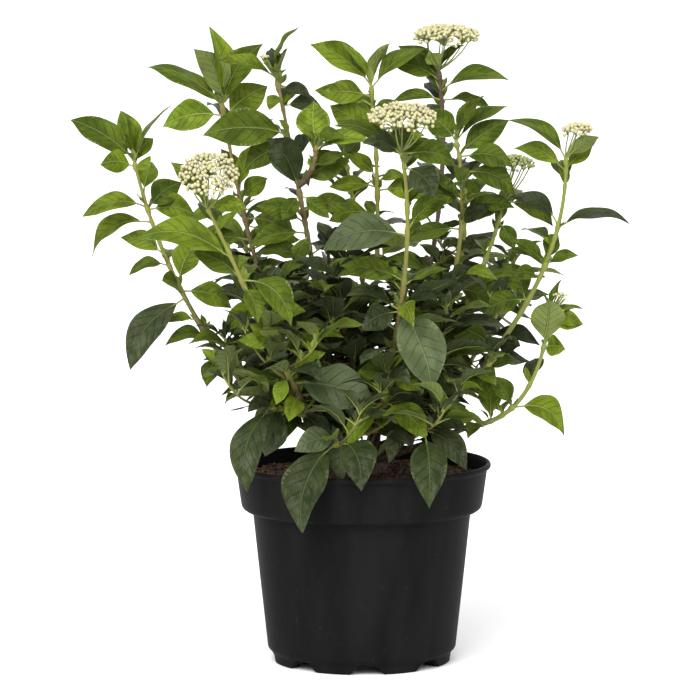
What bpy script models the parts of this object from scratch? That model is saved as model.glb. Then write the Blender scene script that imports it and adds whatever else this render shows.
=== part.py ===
"""A young laurustinus, an evergreen flowering shrub, in a round black nursery pot.

Metres, +Z up. The origin is the middle of the pot's underside. The side that the
photograph shows faces -Y, and +X is to its right. Stem paths, leaves and flower
heads are given in millimetres from that origin and in degrees.
"""

import math
import random
from dataclasses import dataclass

import bmesh
import bpy
from mathutils import Vector
from mathutils.bvhtree import BVHTree

MM = 0.001
GAP = 0.3 * MM
WELDS = (0.2 * MM, 0.1 * MM, 0.05 * MM, 0.02 * MM, 0.01 * MM, 0.004 * MM)
FINE_WELD = 0.002 * MM

# Nursery pot, outer sizes
RIM_RADIUS = 112.5 * MM
RIM_HEIGHT = 174.5 * MM
LIP_HEIGHT = 172.0 * MM
COLLAR_TOP_RADIUS = 109.2 * MM
COLLAR_FOOT_RADIUS = 105.2 * MM
COLLAR_FOOT = 138.5 * MM
BODY_TOP_RADIUS = 95.0 * MM
BODY_TOP = 131.8 * MM
BODY_FOOT_RADIUS = 82.2 * MM
BODY_FOOT = 12.5 * MM
FOOT_RADIUS = 77.8 * MM
FOOT_INNER_RADIUS = 71.0 * MM
FLOOR_UNDER = 9.2 * MM
FLOOR_TOP = 10.8 * MM
BOSS_RADIUS = 18.0 * MM
WALL = 1.4 * MM
POT_STEPS = 40
NOTCHES = 8
NOTCH_FOOT_WIDTH = 27.0 * MM
NOTCH_TOP_WIDTH = 14.0 * MM
NOTCH_HEIGHT = 8.0 * MM
NOTCH_TURN = 273.4

# Compost and trunk
SOIL_HEIGHT = 165.0 * MM
SOIL_DOME = 2.5 * MM
TRUNK_FLARE_RADIUS = 9.5 * MM
TRUNK_RADIUS = 6.2 * MM
TRUNK_TOP_RADIUS = 4.8 * MM
TRUNK_FOOT = (8, 2)
TRUNK_TOP = (12, 6, 212)

# Limbs
BOUGH_FOOT_RADIUS = 3.4 * MM
BOUGH_TIP_RADIUS = 2.6 * MM
STEM_FOOT_RADIUS = 2.5 * MM
STEM_TIP_RADIUS = 2.0 * MM
TWIG_RADIUS = 1.3 * MM

# Leaves
LEAF_LENGTH = 58.0
YOUNG_LEAF_LENGTH = 38.0
LEAF_WIDTH_SHARE = 0.42
LEAF_THICKNESS = 1.0 * MM
LEAF_CLEARANCE = 0.5 * MM
SISTER_CLEARANCE = 0.3 * MM
LEAF_SUNK = 0.3 * MM
STALK_HALF_WIDTH = 0.7 * MM
STALK_DEPTH = 1.0 * MM
WIDE_AT = ((0.33, 0.92), (0.68, 0.88))

SEED = 41

# How a leaf gives way: change of turn and of rise in degrees, and share of its length
GIVE_WAY = (
    (0, 0, 1.0),
    (9, 0, 1.0),
    (-9, 0, 1.0),
    (0, 5, 1.0),
    (0, -5, 1.0),
    (17, 2, 1.0),
    (-17, 2, 1.0),
    (17, -5, 1.0),
    (-17, -5, 1.0),
    (26, 0, 1.0),
    (-26, 0, 1.0),
    (0, 0, 0.88),
    (12, 8, 0.88),
    (-12, 8, 0.88),
    (34, 0, 0.95),
    (-34, 0, 0.95),
    (0, 14, 0.78),
    (20, -12, 0.78),
    (-20, -12, 0.78),
)


@dataclass(frozen=True)
class Leaf:
    """One leaf: its place on the stem, compass turn, rise, length in mm, and tilt."""

    at: float
    turn: float
    rise: float
    length: float
    tilt: float = 0.0
    width: float = LEAF_WIDTH_SHARE
    arch: float = 0.10


@dataclass(frozen=True)
class Head:
    """A flat-topped flower head: its middle in mm, radius, height and lean to the front."""

    centre: tuple
    radius: float
    height: float
    lean: float = 10.0


@dataclass(frozen=True)
class Bough:
    """A bare limb from the trunk, through a middle point to its end, in mm."""

    name: str
    foot_height: float
    middle: tuple
    end: tuple


@dataclass(frozen=True)
class Shoot:
    """A leafy shoot: its path, and what it carries.

    The path has the name of the limb that it grows from and the place on that limb,
    then a middle point and the tip in mm.

    Rule leaves stand in crossed pairs between the two places of fill, and away
    leaves point to the back only. Twigs are short side growths in the leaf axils.
    """

    name: str
    path: tuple
    leaves: tuple = ()
    head: Head = None
    fill: tuple = (0.0, 0.0)
    away: tuple = (0.0, 0.0)
    pairs: int = 7
    start_turn: float = 0.0
    size: float = 1.0
    droop: float = 0.0
    twigs: tuple = ()


BOUGHS = (
    Bough("bough_left", 176, (-48, -4, 204), (-104, -12, 245)),
    Bough("bough_left_front", 182, (-22, -38, 206), (-60, -60, 240)),
    Bough("bough_left_rear", 200, (-22, 26, 208), (-53, 38, 226)),
    Bough("bough_centre", 211, (-4, 4, 224), (-25, 2, 240)),
    Bough("bough_centre_front", 190, (14, -22, 203), (15, -46, 226)),
    Bough("bough_rear", 196, (8, 30, 208), (5, 50, 224)),
    Bough("bough_top", 207, (24, 32, 216), (33, 54, 228)),
    Bough("bough_right_rear", 204, (32, 16, 216), (51, 28, 230)),
    Bough("bough_right", 186, (58, -4, 212), (104, -6, 258)),
    Bough("bough_right_low", 174, (50, -14, 190), (94, -18, 208)),
    Bough("bough_rear_left_low", 184, (-22, 42, 192), (-48, 78, 218)),
    Bough("bough_rear_right_low", 180, (40, 42, 194), (72, 76, 220)),
)

SHOOTS = (
    Shoot(
        "leaves_left_outer",
        (("bough_left", 1.0), (-160, -22, 335), (-196, -20, 439)),
        leaves=(
            Leaf(1.0, 185, 35, 66, -65),
            Leaf(1.0, 240, 75, 42, -90, 0.36),
            Leaf(1.0, 10, 60, 62, 15, 0.3),
            Leaf(0.98, 125, 65, 51, -25, 0.45),
            Leaf(0.98, 30, 55, 41, 50, 0.5),
            Leaf(0.97, 200, 5, 34, -85, 0.6),
            Leaf(0.97, 290, 5, 44, 45),
            Leaf(0.81, 190, -5, 56, -40, arch=0.16),
            Leaf(0.80, 350, 40, 39, 85, 0.6),
            Leaf(0.75, 175, -30, 60, -40, arch=0.2),
            Leaf(0.61, 170, 20, 42, -70),
            Leaf(0.56, 195, -10, 37, -35, arch=0.2),
            Leaf(0.48, 20, 60, 45, 60, 0.6),
            Leaf(0.42, 195, -50, 78, -55, 0.38),
            Leaf(0.46, 250, 15, 43, -70),
            Leaf(0.45, 350, -15, 46, 70, 0.5),
            Leaf(0.31, 170, 0, 32, -40),
            Leaf(0.20, 190, 0, 42, -40, arch=0.22),
            Leaf(0.15, 235, -55, 33, -30, 0.5),
            Leaf(0.16, 330, 5, 35, 80, 0.55),
        ),
        away=(0.1, 0.95),
        start_turn=0,
    ),
    Shoot(
        "leaves_left_flower",
        (("bough_left_front", 1.0), (-94, -98, 326), (-130, -116, 406)),
        leaves=(
            Leaf(1.0, 155, 50, 51, -50, 0.4),
            Leaf(1.0, 335, 0, 38, 70),
            Leaf(0.72, 190, 15, 82, -60, 0.37),
            Leaf(0.60, 168, 30, 48, -65, 0.48),
            Leaf(0.60, 340, -40, 58, 60, 0.48, 0.25),
            Leaf(0.58, 300, -50, 39, 20, 0.5),
            Leaf(0.39, 15, 10, 41, 70, 0.45),
        ),
        head=Head((-128, -124, 436), 27, 26, 38),
        fill=(0.1, 0.4),
        away=(0.4, 0.9),
        start_turn=20,
    ),
    Shoot(
        "leaves_left_young",
        (("bough_left_front", 0.85), (-64, -82, 264), (-83, -94, 302)),
        leaves=(
            Leaf(0.74, 200, 45, 33, -85, 0.5),
            Leaf(0.74, 190, 15, 34, -75, 0.42),
            Leaf(0.42, 340, 35, 39, 80, 0.42),
            Leaf(0.42, 225, -55, 28, -40, 0.55),
            Leaf(0.33, 340, -10, 76, 65, 0.53),
            Leaf(1.0, 120, 60, 28, 0, 0.45),
            Leaf(1.0, 300, 55, 24, 0, 0.45),
        ),
        pairs=4,
    ),
    Shoot(
        "leaves_left_rear",
        (("bough_left_rear", 1.0), (-95, 72, 348), (-124, 85, 485)),
        leaves=(
            Leaf(0.99, 150, 80, 68, -20, 0.38),
            Leaf(0.98, 200, 65, 57, 70, 0.46),
            Leaf(0.98, 172, 27, 77, -35, 0.32),
            Leaf(0.98, 350, 56, 66, 60, 0.5),
            Leaf(0.95, 175, -10, 56, -75, 0.52),
            Leaf(0.94, 25, 35, 50, 70, 0.6),
            Leaf(0.70, 150, 65, 45, -40),
            Leaf(0.69, 335, 75, 50, 70, 0.4),
            Leaf(0.68, 320, 45, 34, 85, 0.55),
            Leaf(0.66, 170, -15, 55, -50, 0.38),
            Leaf(0.65, 205, -35, 34, -20),
            Leaf(0.65, 5, -5, 38, 45),
            Leaf(0.62, 345, -20, 52, 60, 0.5, 0.16),
            Leaf(0.55, 188, -5, 56, -60),
        ),
        fill=(0.08, 0.5),
        away=(0.4, 0.95),
        start_turn=10,
        twigs=(0.35,),
    ),
    Shoot(
        "leaves_brown_tall",
        (("bough_centre", 1.0), (-48, 6, 376), (-74, 8, 510)),
        leaves=(
            Leaf(1.0, 190, 18, 54, -45, 0.34),
            Leaf(1.0, 10, 62, 52, 10, 0.24, 0.2),
            Leaf(0.97, 300, 62, 36, 60, 0.46),
            Leaf(0.97, 220, 50, 26, -30, 0.7),
            Leaf(0.96, 335, -12, 32, 60, 0.4),
            Leaf(0.99, 120, 45, 36, 0),
            Leaf(0.93, 250, -18, 30, -20, 0.5),
            Leaf(0.80, 193, 2, 76, -75, 0.46, 0.14),
            Leaf(0.79, 215, 60, 22, -60, 0.5),
            Leaf(0.63, 212, 46, 62, -88, 0.62),
            Leaf(0.61, 235, -35, 33, -35, 0.5),
            Leaf(0.61, 325, -30, 36, 55),
            Leaf(0.56, 340, 10, 46, 70, 0.44),
            Leaf(0.52, 200, 20, 48, -70, 0.44),
            Leaf(0.48, 255, -40, 34, -5, 0.5),
        ),
        fill=(0.06, 0.5),
        away=(0.5, 0.95),
        start_turn=60,
        twigs=(0.3,),
    ),
    Shoot(
        "leaves_rear_tall",
        (("bough_rear", 1.0), (14, 92, 365), (8, 100, 499)),
        leaves=(
            Leaf(0.99, 175, 35, 66, -65, 0.4),
            Leaf(1.0, 190, 55, 46, -45, 0.3),
            Leaf(1.0, 335, 65, 43, -30, 0.36),
            Leaf(0.98, 355, 35, 62, 45, 0.36),
            Leaf(0.92, 175, 15, 54, -75, 0.38),
            Leaf(0.91, 320, -10, 36, 65),
            Leaf(0.68, 195, 45, 38, -85, 0.4),
            Leaf(0.67, 340, 15, 27, 50, 0.5),
            Leaf(0.65, 165, 0, 45, -75, 0.38),
            Leaf(0.80, 185, 40, 52, -75, 0.5),
        ),
        fill=(0.06, 0.55),
        away=(0.5, 0.95),
        start_turn=35,
        twigs=(0.45,),
    ),
    Shoot(
        "leaves_centre_flower",
        (("bough_centre_front", 1.0), (37, -82, 353), (33, -98, 452)),
        leaves=(
            Leaf(0.99, 190, 30, 61, -45, 0.34),
            Leaf(0.98, 220, 20, 44, -85, 0.44),
            Leaf(0.98, 350, -10, 47, 70, 0.5),
            Leaf(0.92, 310, -30, 47, 45, 0.56),
            Leaf(0.62, 200, -5, 76, -70, 0.45),
            Leaf(0.64, 350, 40, 47, 75),
            Leaf(0.44, 190, 15, 57, -75, 0.38),
            Leaf(0.40, 195, 40, 55, -35, 0.3),
            Leaf(0.42, 345, 25, 42, 35, 0.3),
            Leaf(0.34, 310, -55, 76, 35, 0.56),
            Leaf(0.33, 210, -20, 40, -70, 0.6),
        ),
        head=Head((34, -102, 482), 31, 24, 14),
        fill=(0.04, 0.3),
        away=(0.3, 0.95),
        start_turn=75,
    ),
    Shoot(
        "leaves_top_flower",
        (("bough_top", 1.0), (68, 100, 382), (68, 108, 512)),
        leaves=(
            Leaf(1.0, 215, 62, 30, 35, 0.7),
            Leaf(0.99, 20, 45, 33, 30, 0.36),
            Leaf(0.91, 165, 45, 57, -60, 0.38),
            Leaf(0.91, 350, 10, 62, 40, 0.34, 0.2),
            Leaf(0.88, 190, 0, 45, -45, 0.36),
            Leaf(0.88, 10, -10, 46, 40, 0.36),
        ),
        head=Head((75, 106, 543), 32, 22, 6),
        fill=(0.05, 0.5),
        away=(0.5, 0.95),
        start_turn=20,
        twigs=(0.3,),
    ),
    Shoot(
        "leaves_right_tall",
        (("bough_right_rear", 1.0), (85, 42, 356), (82, 45, 452)),
        leaves=(
            Leaf(1.0, 345, 60, 48, 65, 0.36),
            Leaf(1.0, 10, 35, 56, 30, 0.32),
            Leaf(0.98, 195, 50, 42, -90, 0.62),
            Leaf(0.91, 15, 35, 56, 65),
            Leaf(0.84, 355, -20, 52, 70),
            Leaf(0.82, 330, -55, 28, 35, 0.5),
            Leaf(0.82, 205, -25, 28, -30, 0.5),
            Leaf(0.73, 210, -15, 37, -65, 0.5),
            Leaf(0.58, 340, 45, 37, 85, 0.44),
            Leaf(0.58, 190, -10, 50, -55, 0.36),
            Leaf(0.35, 350, -15, 50, 70),
            Leaf(0.35, 210, 25, 35, -80, 0.55),
        ),
        fill=(0.05, 0.5),
        away=(0.4, 0.95),
        start_turn=50,
        twigs=(0.3, 0.62),
    ),
    Shoot(
        "leaves_right_green",
        (("bough_right_rear", 0.9), (98, 42, 321), (125, 54, 399)),
        leaves=(
            Leaf(1.0, 210, -30, 31, -55, 0.5),
            Leaf(1.0, 10, -25, 50, 75, 0.4),
            Leaf(0.86, 310, -45, 31, 40, 0.55),
        ),
        head=Head((135, 52, 435), 18, 26, 8),
        fill=(0.1, 0.6),
        away=(0.4, 0.9),
        start_turn=30,
        pairs=6,
        size=0.85,
        twigs=(0.4,),
    ),
    Shoot(
        "leaves_right_outer",
        (("bough_right", 1.0), (160, -2, 349), (176, -5, 441)),
        leaves=(
            Leaf(0.98, 175, 35, 60, -35, 0.34, 0.18),
            Leaf(0.98, 350, 45, 50, -75, 0.38),
            Leaf(0.93, 25, 40, 34, 55, 0.5),
            Leaf(0.93, 170, 25, 50, -50, 0.38),
            Leaf(0.67, 170, 30, 50, -55, 0.36, 0.2),
            Leaf(0.66, 355, 5, 62, 25, 0.34, 0.16),
            Leaf(0.48, 190, 40, 38, -65, 0.4),
            Leaf(0.48, 170, 20, 39, -20, 0.3),
            Leaf(0.48, 340, 20, 32, 50),
            Leaf(0.49, 40, 50, 33, 50, 0.55),
            Leaf(0.43, 210, 5, 29, -75, 0.5),
            Leaf(0.32, 195, -15, 42, -70, 0.5),
            Leaf(0.30, 145, 55, 42, -45, 0.55),
            Leaf(0.08, 305, 10, 37, 80, 0.45),
            Leaf(0.08, 195, 25, 50, -80, 0.48),
        ),
        head=Head((186, -3, 467), 14, 20, 6),
        away=(0.1, 0.9),
        start_turn=10,
        twigs=(0.2,),
    ),
    Shoot(
        "leaves_low_right",
        (("bough_right_low", 1.0), (140, -28, 237), (162, -32, 310)),
        leaves=(
            Leaf(0.82, 282, 72, 47, -10, 0.66, 0.04),
            Leaf(0.81, 322, 5, 26, 75, 0.8),
            Leaf(0.98, 10, 12, 30, 30, 0.3),
            Leaf(0.99, 20, 70, 30, 20, 0.3),
            Leaf(0.96, 350, -10, 28, 65, 0.5),
            Leaf(0.36, 175, 58, 33, -80, 0.56),
            Leaf(0.36, 345, -24, 52, 65, 0.5, 0.22),
            Leaf(0.16, 120, 70, 38, -20, 0.55),
            Leaf(0.08, 200, 15, 45, -75),
            Leaf(0.09, 245, -15, 32, -15, 0.46),
        ),
        away=(0.1, 0.8),
        start_turn=5,
        size=0.8,
    ),
    Shoot(
        "leaves_front_low",
        (("bough_centre_front", 0.75), (18, -66, 224), (22, -84, 262)),
        leaves=(
            Leaf(0.70, 205, -45, 50, -55, 0.42),
            Leaf(0.69, 335, -35, 48, 60, 0.5),
            Leaf(0.76, 330, 65, 31, 70, 0.46),
            Leaf(0.96, 205, 10, 30, -75, 0.55),
            Leaf(0.96, 335, -15, 34, 65, 0.48),
        ),
        pairs=3,
    ),
    Shoot("leaves_core_left", (("bough_left", 0.5), (-58, -24, 268), (-74, -38, 330)),
          fill=(0.05, 1.0), start_turn=15, pairs=5, droop=12, twigs=(0.5,)),
    Shoot("leaves_core_centre", (("bough_centre", 0.4), (-12, -26, 278), (-22, -42, 336)),
          fill=(0.05, 1.0), start_turn=55, pairs=6, droop=14),
    Shoot("leaves_core_right", (("bough_right", 0.5), (66, -26, 262), (72, -40, 312)),
          fill=(0.05, 1.0), start_turn=5, pairs=5, droop=12, twigs=(0.5,)),
    Shoot("leaves_core_rear", (("bough_left_rear", 0.45), (-24, 48, 284), (-30, 60, 356)),
          fill=(0.05, 1.0), start_turn=30, pairs=6, droop=8),
    Shoot("leaves_back_left", (("bough_left_rear", 0.8), (-84, 92, 288), (-104, 130, 352)),
          fill=(0.05, 1.0), start_turn=70, pairs=6, droop=8, twigs=(0.45,)),
    Shoot("leaves_back_middle", (("bough_rear", 0.75), (0, 116, 328), (-14, 158, 425)),
          fill=(0.08, 1.0), start_turn=24, pairs=6, droop=4, twigs=(0.62,)),
    Shoot("leaves_back_right", (("bough_right_rear", 0.6), (82, 92, 318), (92, 134, 405)),
          fill=(0.08, 1.0), start_turn=44, pairs=6, droop=4, twigs=(0.62,)),
    Shoot("leaves_back_far_right", (("bough_rear_right_low", 1.0), (110, 106, 272), (136, 120, 336)),
          fill=(0.05, 1.0), start_turn=80, pairs=6, droop=8),
    Shoot("leaves_back_low_left", (("bough_rear_left_low", 1.0), (-60, 122, 262), (-66, 152, 316)),
          fill=(0.05, 1.0), start_turn=10, pairs=6, droop=12),
    Shoot("leaves_back_low_right", (("bough_rear_right_low", 0.85), (66, 128, 258), (62, 160, 318)),
          fill=(0.05, 1.0), start_turn=60, pairs=6, droop=12),
    Shoot(
        "leaves_left_low",
        (("bough_left", 0.85), (-104, -24, 260), (-118, -28, 284)),
        fill=(0.1, 1.0), start_turn=20, pairs=5, size=0.8, droop=10,
    ),
    Shoot(
        "leaves_right_low",
        (("bough_right", 0.8), (101, -21, 254), (116, -28, 268)),
        fill=(0.1, 1.0), start_turn=20, pairs=5, size=0.8, droop=10,
    ),
    Shoot(
        "leaves_brown_side",
        (("leaves_brown_tall", 0.64), (-43, -4, 430), (-40, -8, 448)),
        leaves=(
            Leaf(1.0, 98, 76, 42, -10, 0.72, 0.05),
            Leaf(0.98, 335, 20, 30, 60, 0.5, 0.3),
            Leaf(0.97, 350, 8, 50, 55, 0.36, 0.16),
            Leaf(0.5, 340, 25, 34, 60, 0.4),
            Leaf(0.12, 350, 25, 46, 80, 0.62),
        ),
        away=(0.2, 1.0),
        pairs=3,
    ),
    Shoot(
        "leaves_pot_left",
        (("bough_left_front", 0.55), (-50, -54, 222), (-78, -72, 232)),
        leaves=(
            Leaf(1.0, 235, -62, 78, -30, 0.36, 0.16),
            Leaf(0.75, 190, -62, 44, -60, 0.7, 0.1),
            Leaf(0.88, 246, -46, 42, -40, 0.44, 0.14),
            Leaf(0.55, 300, -40, 48, 30, 0.45, 0.2),
        ),
        pairs=3,
    ),
    Shoot(
        "leaves_pot_front",
        (("bough_centre_front", 0.5), (10, -64, 210), (-25, -92, 200)),
        leaves=(
            Leaf(1.0, 228, -58, 80, -22, 0.5, 0.2),
            Leaf(0.62, 247, -40, 66, -12, 0.56, 0.27),
            Leaf(0.80, 318, -42, 42, 30, 0.42, 0.18),
            Leaf(0.92, 205, -5, 44, -65, 0.55, 0.16),
            Leaf(0.60, 330, -12, 46, 40, 0.42, 0.16),
        ),
        pairs=3,
    ),
    Shoot(
        "leaves_pot_right",
        (("bough_right_low", 0.4), (46, -54, 209), (54, -82, 208)),
        leaves=(
            Leaf(1.0, 276, -60, 66, 10, 0.52, 0.2),
            Leaf(0.80, 330, -32, 54, 55, 0.42, 0.16),
            Leaf(0.72, 236, -34, 46, -30, 0.42, 0.2),
            Leaf(0.55, 350, 5, 44, 60, 0.46, 0.16),
        ),
        pairs=3,
    ),
    Shoot("leaves_pot_back_left", (("bough_rear_left_low", 0.6), (-42, 80, 212), (-52, 98, 214)),
          fill=(0.5, 1.0), start_turn=128, pairs=4, droop=40),
    Shoot("leaves_pot_back_right", (("bough_rear_right_low", 0.55), (38, 82, 210), (34, 104, 214)),
          fill=(0.5, 1.0), start_turn=75, pairs=4, droop=42),
)

# Colour, roughness and metallic value of each material
COLOURS = {
    "pot_plastic": ((0.012, 0.012, 0.013), 0.45, 0.0),
    "dark_compost": ((0.035, 0.018, 0.012), 0.95, 0.0),
    "old_bark": ((0.12, 0.075, 0.04), 0.85, 0.0),
    "young_bark": ((0.16, 0.12, 0.05), 0.7, 0.0),
    "leaf_green": ((0.05, 0.11, 0.03), 0.5, 0.0),
    "old_leaf_green": ((0.03, 0.06, 0.028), 0.55, 0.0),
    "young_leaf_green": ((0.12, 0.22, 0.04), 0.5, 0.0),
}
YOUNG = ("leaves_left_young", "leaves_front_low", "leaves_left_flower")
OLD = ("leaves_pot", "leaves_core", "leaves_back_low")


def clear_scene():
    """Remove the objects and meshes that a new scene holds."""
    for obj in list(bpy.data.objects):
        bpy.data.objects.remove(obj, do_unlink=True)
    for mesh in list(bpy.data.meshes):
        bpy.data.meshes.remove(mesh)


def material(name):
    """The named material as a Principled BSDF with its colour and finish."""
    found = bpy.data.materials.get(name)
    if found:
        return found
    colour, roughness, metallic = COLOURS[name]
    found = bpy.data.materials.new(name)
    found.use_nodes = True
    shader = found.node_tree.nodes["Principled BSDF"]
    shader.inputs["Base Color"].default_value = (*colour, 1.0)
    shader.inputs["Roughness"].default_value = roughness
    shader.inputs["Metallic"].default_value = metallic
    found.diffuse_color = (*colour, 1.0)
    return found


def collection(name, hidden=False):
    """A collection in the scene, kept out of the render where it holds cutters."""
    found = bpy.data.collections.get(name)
    if not found:
        found = bpy.data.collections.new(name)
        found.hide_render = hidden
        bpy.context.scene.collection.children.link(found)
    return found


def mesh_object(name, points, faces, home, paint=None):
    """An object made of the given points and faces, linked to its collection."""
    mesh = bpy.data.meshes.new(name)
    mesh.from_pydata([tuple(point) for point in points], [], faces)
    mesh.update()
    obj = bpy.data.objects.new(name, mesh)
    home.objects.link(obj)
    if paint:
        mesh.materials.append(material(paint))
    return obj


def apply_modifiers(obj):
    """Replace the object's mesh with its evaluated one and drop the modifiers."""
    bpy.context.view_layer.update()
    graph = bpy.context.evaluated_depsgraph_get()
    made = bpy.data.meshes.new_from_object(obj.evaluated_get(graph))
    old = obj.data
    obj.modifiers.clear()
    obj.data = made
    bpy.data.meshes.remove(old)
    made.name = obj.name


def turned_solid(name, profile, home, paint, steps=POT_STEPS):
    """A solid of revolution about Z from a profile that runs down its outer side."""
    points = [(radius, 0.0, height) for radius, height in profile]
    edges = [(i, i + 1) for i in range(len(points) - 1)]
    mesh = bpy.data.meshes.new(name)
    mesh.from_pydata(points, edges, [])
    obj = bpy.data.objects.new(name, mesh)
    home.objects.link(obj)
    screw = obj.modifiers.new("Turn", "SCREW")
    screw.axis = "Z"
    screw.steps = steps
    screw.render_steps = steps
    screw.use_merge_vertices = True
    screw.merge_threshold = 0.00001
    screw.use_smooth_shade = False
    apply_modifiers(obj)
    obj.data.materials.append(material(paint))
    return obj


def outer_profile():
    """The pot's outer side from the top of the lip to the foot, as radius and height."""
    return [
        (RIM_RADIUS - 2.4 * MM, RIM_HEIGHT),
        (RIM_RADIUS - 0.7 * MM, RIM_HEIGHT - 0.8 * MM),
        (RIM_RADIUS, LIP_HEIGHT),
        (RIM_RADIUS - 0.8 * MM, LIP_HEIGHT - 1.8 * MM),
        (COLLAR_TOP_RADIUS + 0.4 * MM, LIP_HEIGHT - 3.0 * MM),
        (COLLAR_TOP_RADIUS, LIP_HEIGHT - 4.5 * MM),
        (COLLAR_FOOT_RADIUS, COLLAR_FOOT),
        (COLLAR_FOOT_RADIUS - 1.7 * MM, COLLAR_FOOT - 4.0 * MM),
        (COLLAR_FOOT_RADIUS - 5.6 * MM, COLLAR_FOOT - 6.4 * MM),
        (BODY_TOP_RADIUS, BODY_TOP),
        (BODY_FOOT_RADIUS, BODY_FOOT),
        (FOOT_RADIUS + 1.4 * MM, BODY_FOOT - 4.0 * MM),
        (FOOT_RADIUS, BODY_FOOT - 6.0 * MM),
        (FOOT_RADIUS - 0.6 * MM, 0.0),
    ]


def under_profile():
    """The underside, from the foot ring over the raised floor to the flat boss."""
    return [
        (FOOT_INNER_RADIUS, 0.0),
        (FOOT_INNER_RADIUS - 0.8 * MM, FLOOR_UNDER),
        (BOSS_RADIUS + 1.0 * MM, FLOOR_UNDER),
        (BOSS_RADIUS, 0.0),
        (0.0, 0.0),
    ]


def inner_radius(height):
    """The radius of the pot's inside at a height."""
    if height >= COLLAR_FOOT:
        share = (height - COLLAR_FOOT) / (LIP_HEIGHT - COLLAR_FOOT)
        return COLLAR_FOOT_RADIUS + share * (COLLAR_TOP_RADIUS - COLLAR_FOOT_RADIUS) - WALL
    share = (height - BODY_FOOT) / (BODY_TOP - BODY_FOOT)
    return BODY_FOOT_RADIUS + share * (BODY_TOP_RADIUS - BODY_FOOT_RADIUS) - WALL


def inner_profile():
    """The pot's inside, from the middle of the floor up to the lip."""
    return [
        (0.0, FLOOR_TOP),
        (inner_radius(FLOOR_TOP) - 1.0 * MM, FLOOR_TOP),
        (inner_radius(FLOOR_TOP + 2 * MM), FLOOR_TOP + 2.0 * MM),
        (inner_radius(BODY_TOP), BODY_TOP + 1.2 * MM),
        (COLLAR_FOOT_RADIUS - 6.0 * MM, COLLAR_FOOT - 4.2 * MM),
        (inner_radius(COLLAR_FOOT), COLLAR_FOOT + 0.6 * MM),
        (inner_radius(LIP_HEIGHT - 4.0 * MM), LIP_HEIGHT - 4.0 * MM),
        (RIM_RADIUS - 3.6 * MM, RIM_HEIGHT - 0.7 * MM),
        (RIM_RADIUS - 2.4 * MM, RIM_HEIGHT),
    ]


def build_pot(home):
    """The nursery pot: a turned shell with drainage notches cut through its foot."""
    profile = outer_profile() + under_profile()[:-1]
    profile += [(0.0, 0.0)] + inner_profile()
    pot = turned_solid("pot", profile, home, "pot_plastic")
    cutters = collection("pot_cutters", hidden=True)
    for i in range(NOTCHES):
        turn = math.radians(NOTCH_TURN + i * 360 / NOTCHES)
        out = Vector((math.cos(turn), math.sin(turn), 0))
        side = Vector((-math.sin(turn), math.cos(turn), 0))
        points = []
        for radius in (FOOT_INNER_RADIUS - 4 * MM, FOOT_RADIUS + 4 * MM):
            for half, height in (
                (NOTCH_FOOT_WIDTH / 2 + 0.8 * MM, -0.5 * MM),
                (NOTCH_TOP_WIDTH / 2, NOTCH_HEIGHT),
            ):
                for sign in (-1, 1):
                    points.append(out * radius + side * half * sign + Vector((0, 0, height)))
        faces = [(0, 1, 3, 2), (4, 6, 7, 5), (0, 4, 5, 1), (2, 3, 7, 6), (0, 2, 6, 4), (1, 5, 7, 3)]
        cutter = mesh_object(f"notch_{i}", points, faces, cutters)
        face_out(cutter)
        cutter.hide_render = True
        cutter.display_type = "WIRE"
        cut = pot.modifiers.new(f"Notch {i}", "BOOLEAN")
        cut.operation = "DIFFERENCE"
        cut.solver = "EXACT"
        cut.object = cutter
    apply_modifiers(pot)
    return pot


def build_compost(home):
    """The compost that fills the pot to just under its lip, slightly domed."""
    edge = SOIL_HEIGHT - SOIL_DOME
    profile = [
        (0.0, SOIL_HEIGHT),
        (60 * MM, SOIL_HEIGHT - 0.4 * SOIL_DOME),
        (inner_radius(edge) - 3 * GAP, edge),
        (inner_radius(COLLAR_FOOT) - 3 * GAP, COLLAR_FOOT + 1.5 * MM),
        (COLLAR_FOOT_RADIUS - 6.6 * MM, COLLAR_FOOT - 3.2 * MM),
        (inner_radius(BODY_TOP) - 2 * GAP, BODY_TOP + 2.2 * MM),
        (inner_radius(FLOOR_TOP + 3 * MM) - 2 * GAP, FLOOR_TOP + 3 * MM),
        (inner_radius(FLOOR_TOP) - 4 * MM, FLOOR_TOP + GAP),
        (0.0, FLOOR_TOP + GAP),
    ]
    return turned_solid("compost", profile, home, "dark_compost", 24)


def face_out(obj):
    """Turn all the faces of a closed mesh outwards."""
    work = bmesh.new()
    work.from_mesh(obj.data)
    bmesh.ops.recalc_face_normals(work, faces=work.faces)
    work.to_mesh(obj.data)
    work.free()


class Path:
    """A smooth limb line through a foot, a middle and a tip given in millimetres."""

    def __init__(self, foot, middle, tip):
        """Keep the three points, in metres, as a quadratic curve."""
        self.foot = Vector(foot) * MM
        self.tip = Vector(tip) * MM
        self.bend = 2 * Vector(middle) * MM - 0.5 * (self.foot + self.tip)

    def point(self, share):
        """The point at a share of the way from foot to tip."""
        rest = 1 - share
        return self.foot * rest * rest + self.bend * 2 * share * rest + self.tip * share * share

    def heading(self, share):
        """The direction of growth at a share of the way."""
        rest = 1 - share
        return ((self.bend - self.foot) * rest + (self.tip - self.bend) * share).normalized()


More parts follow.
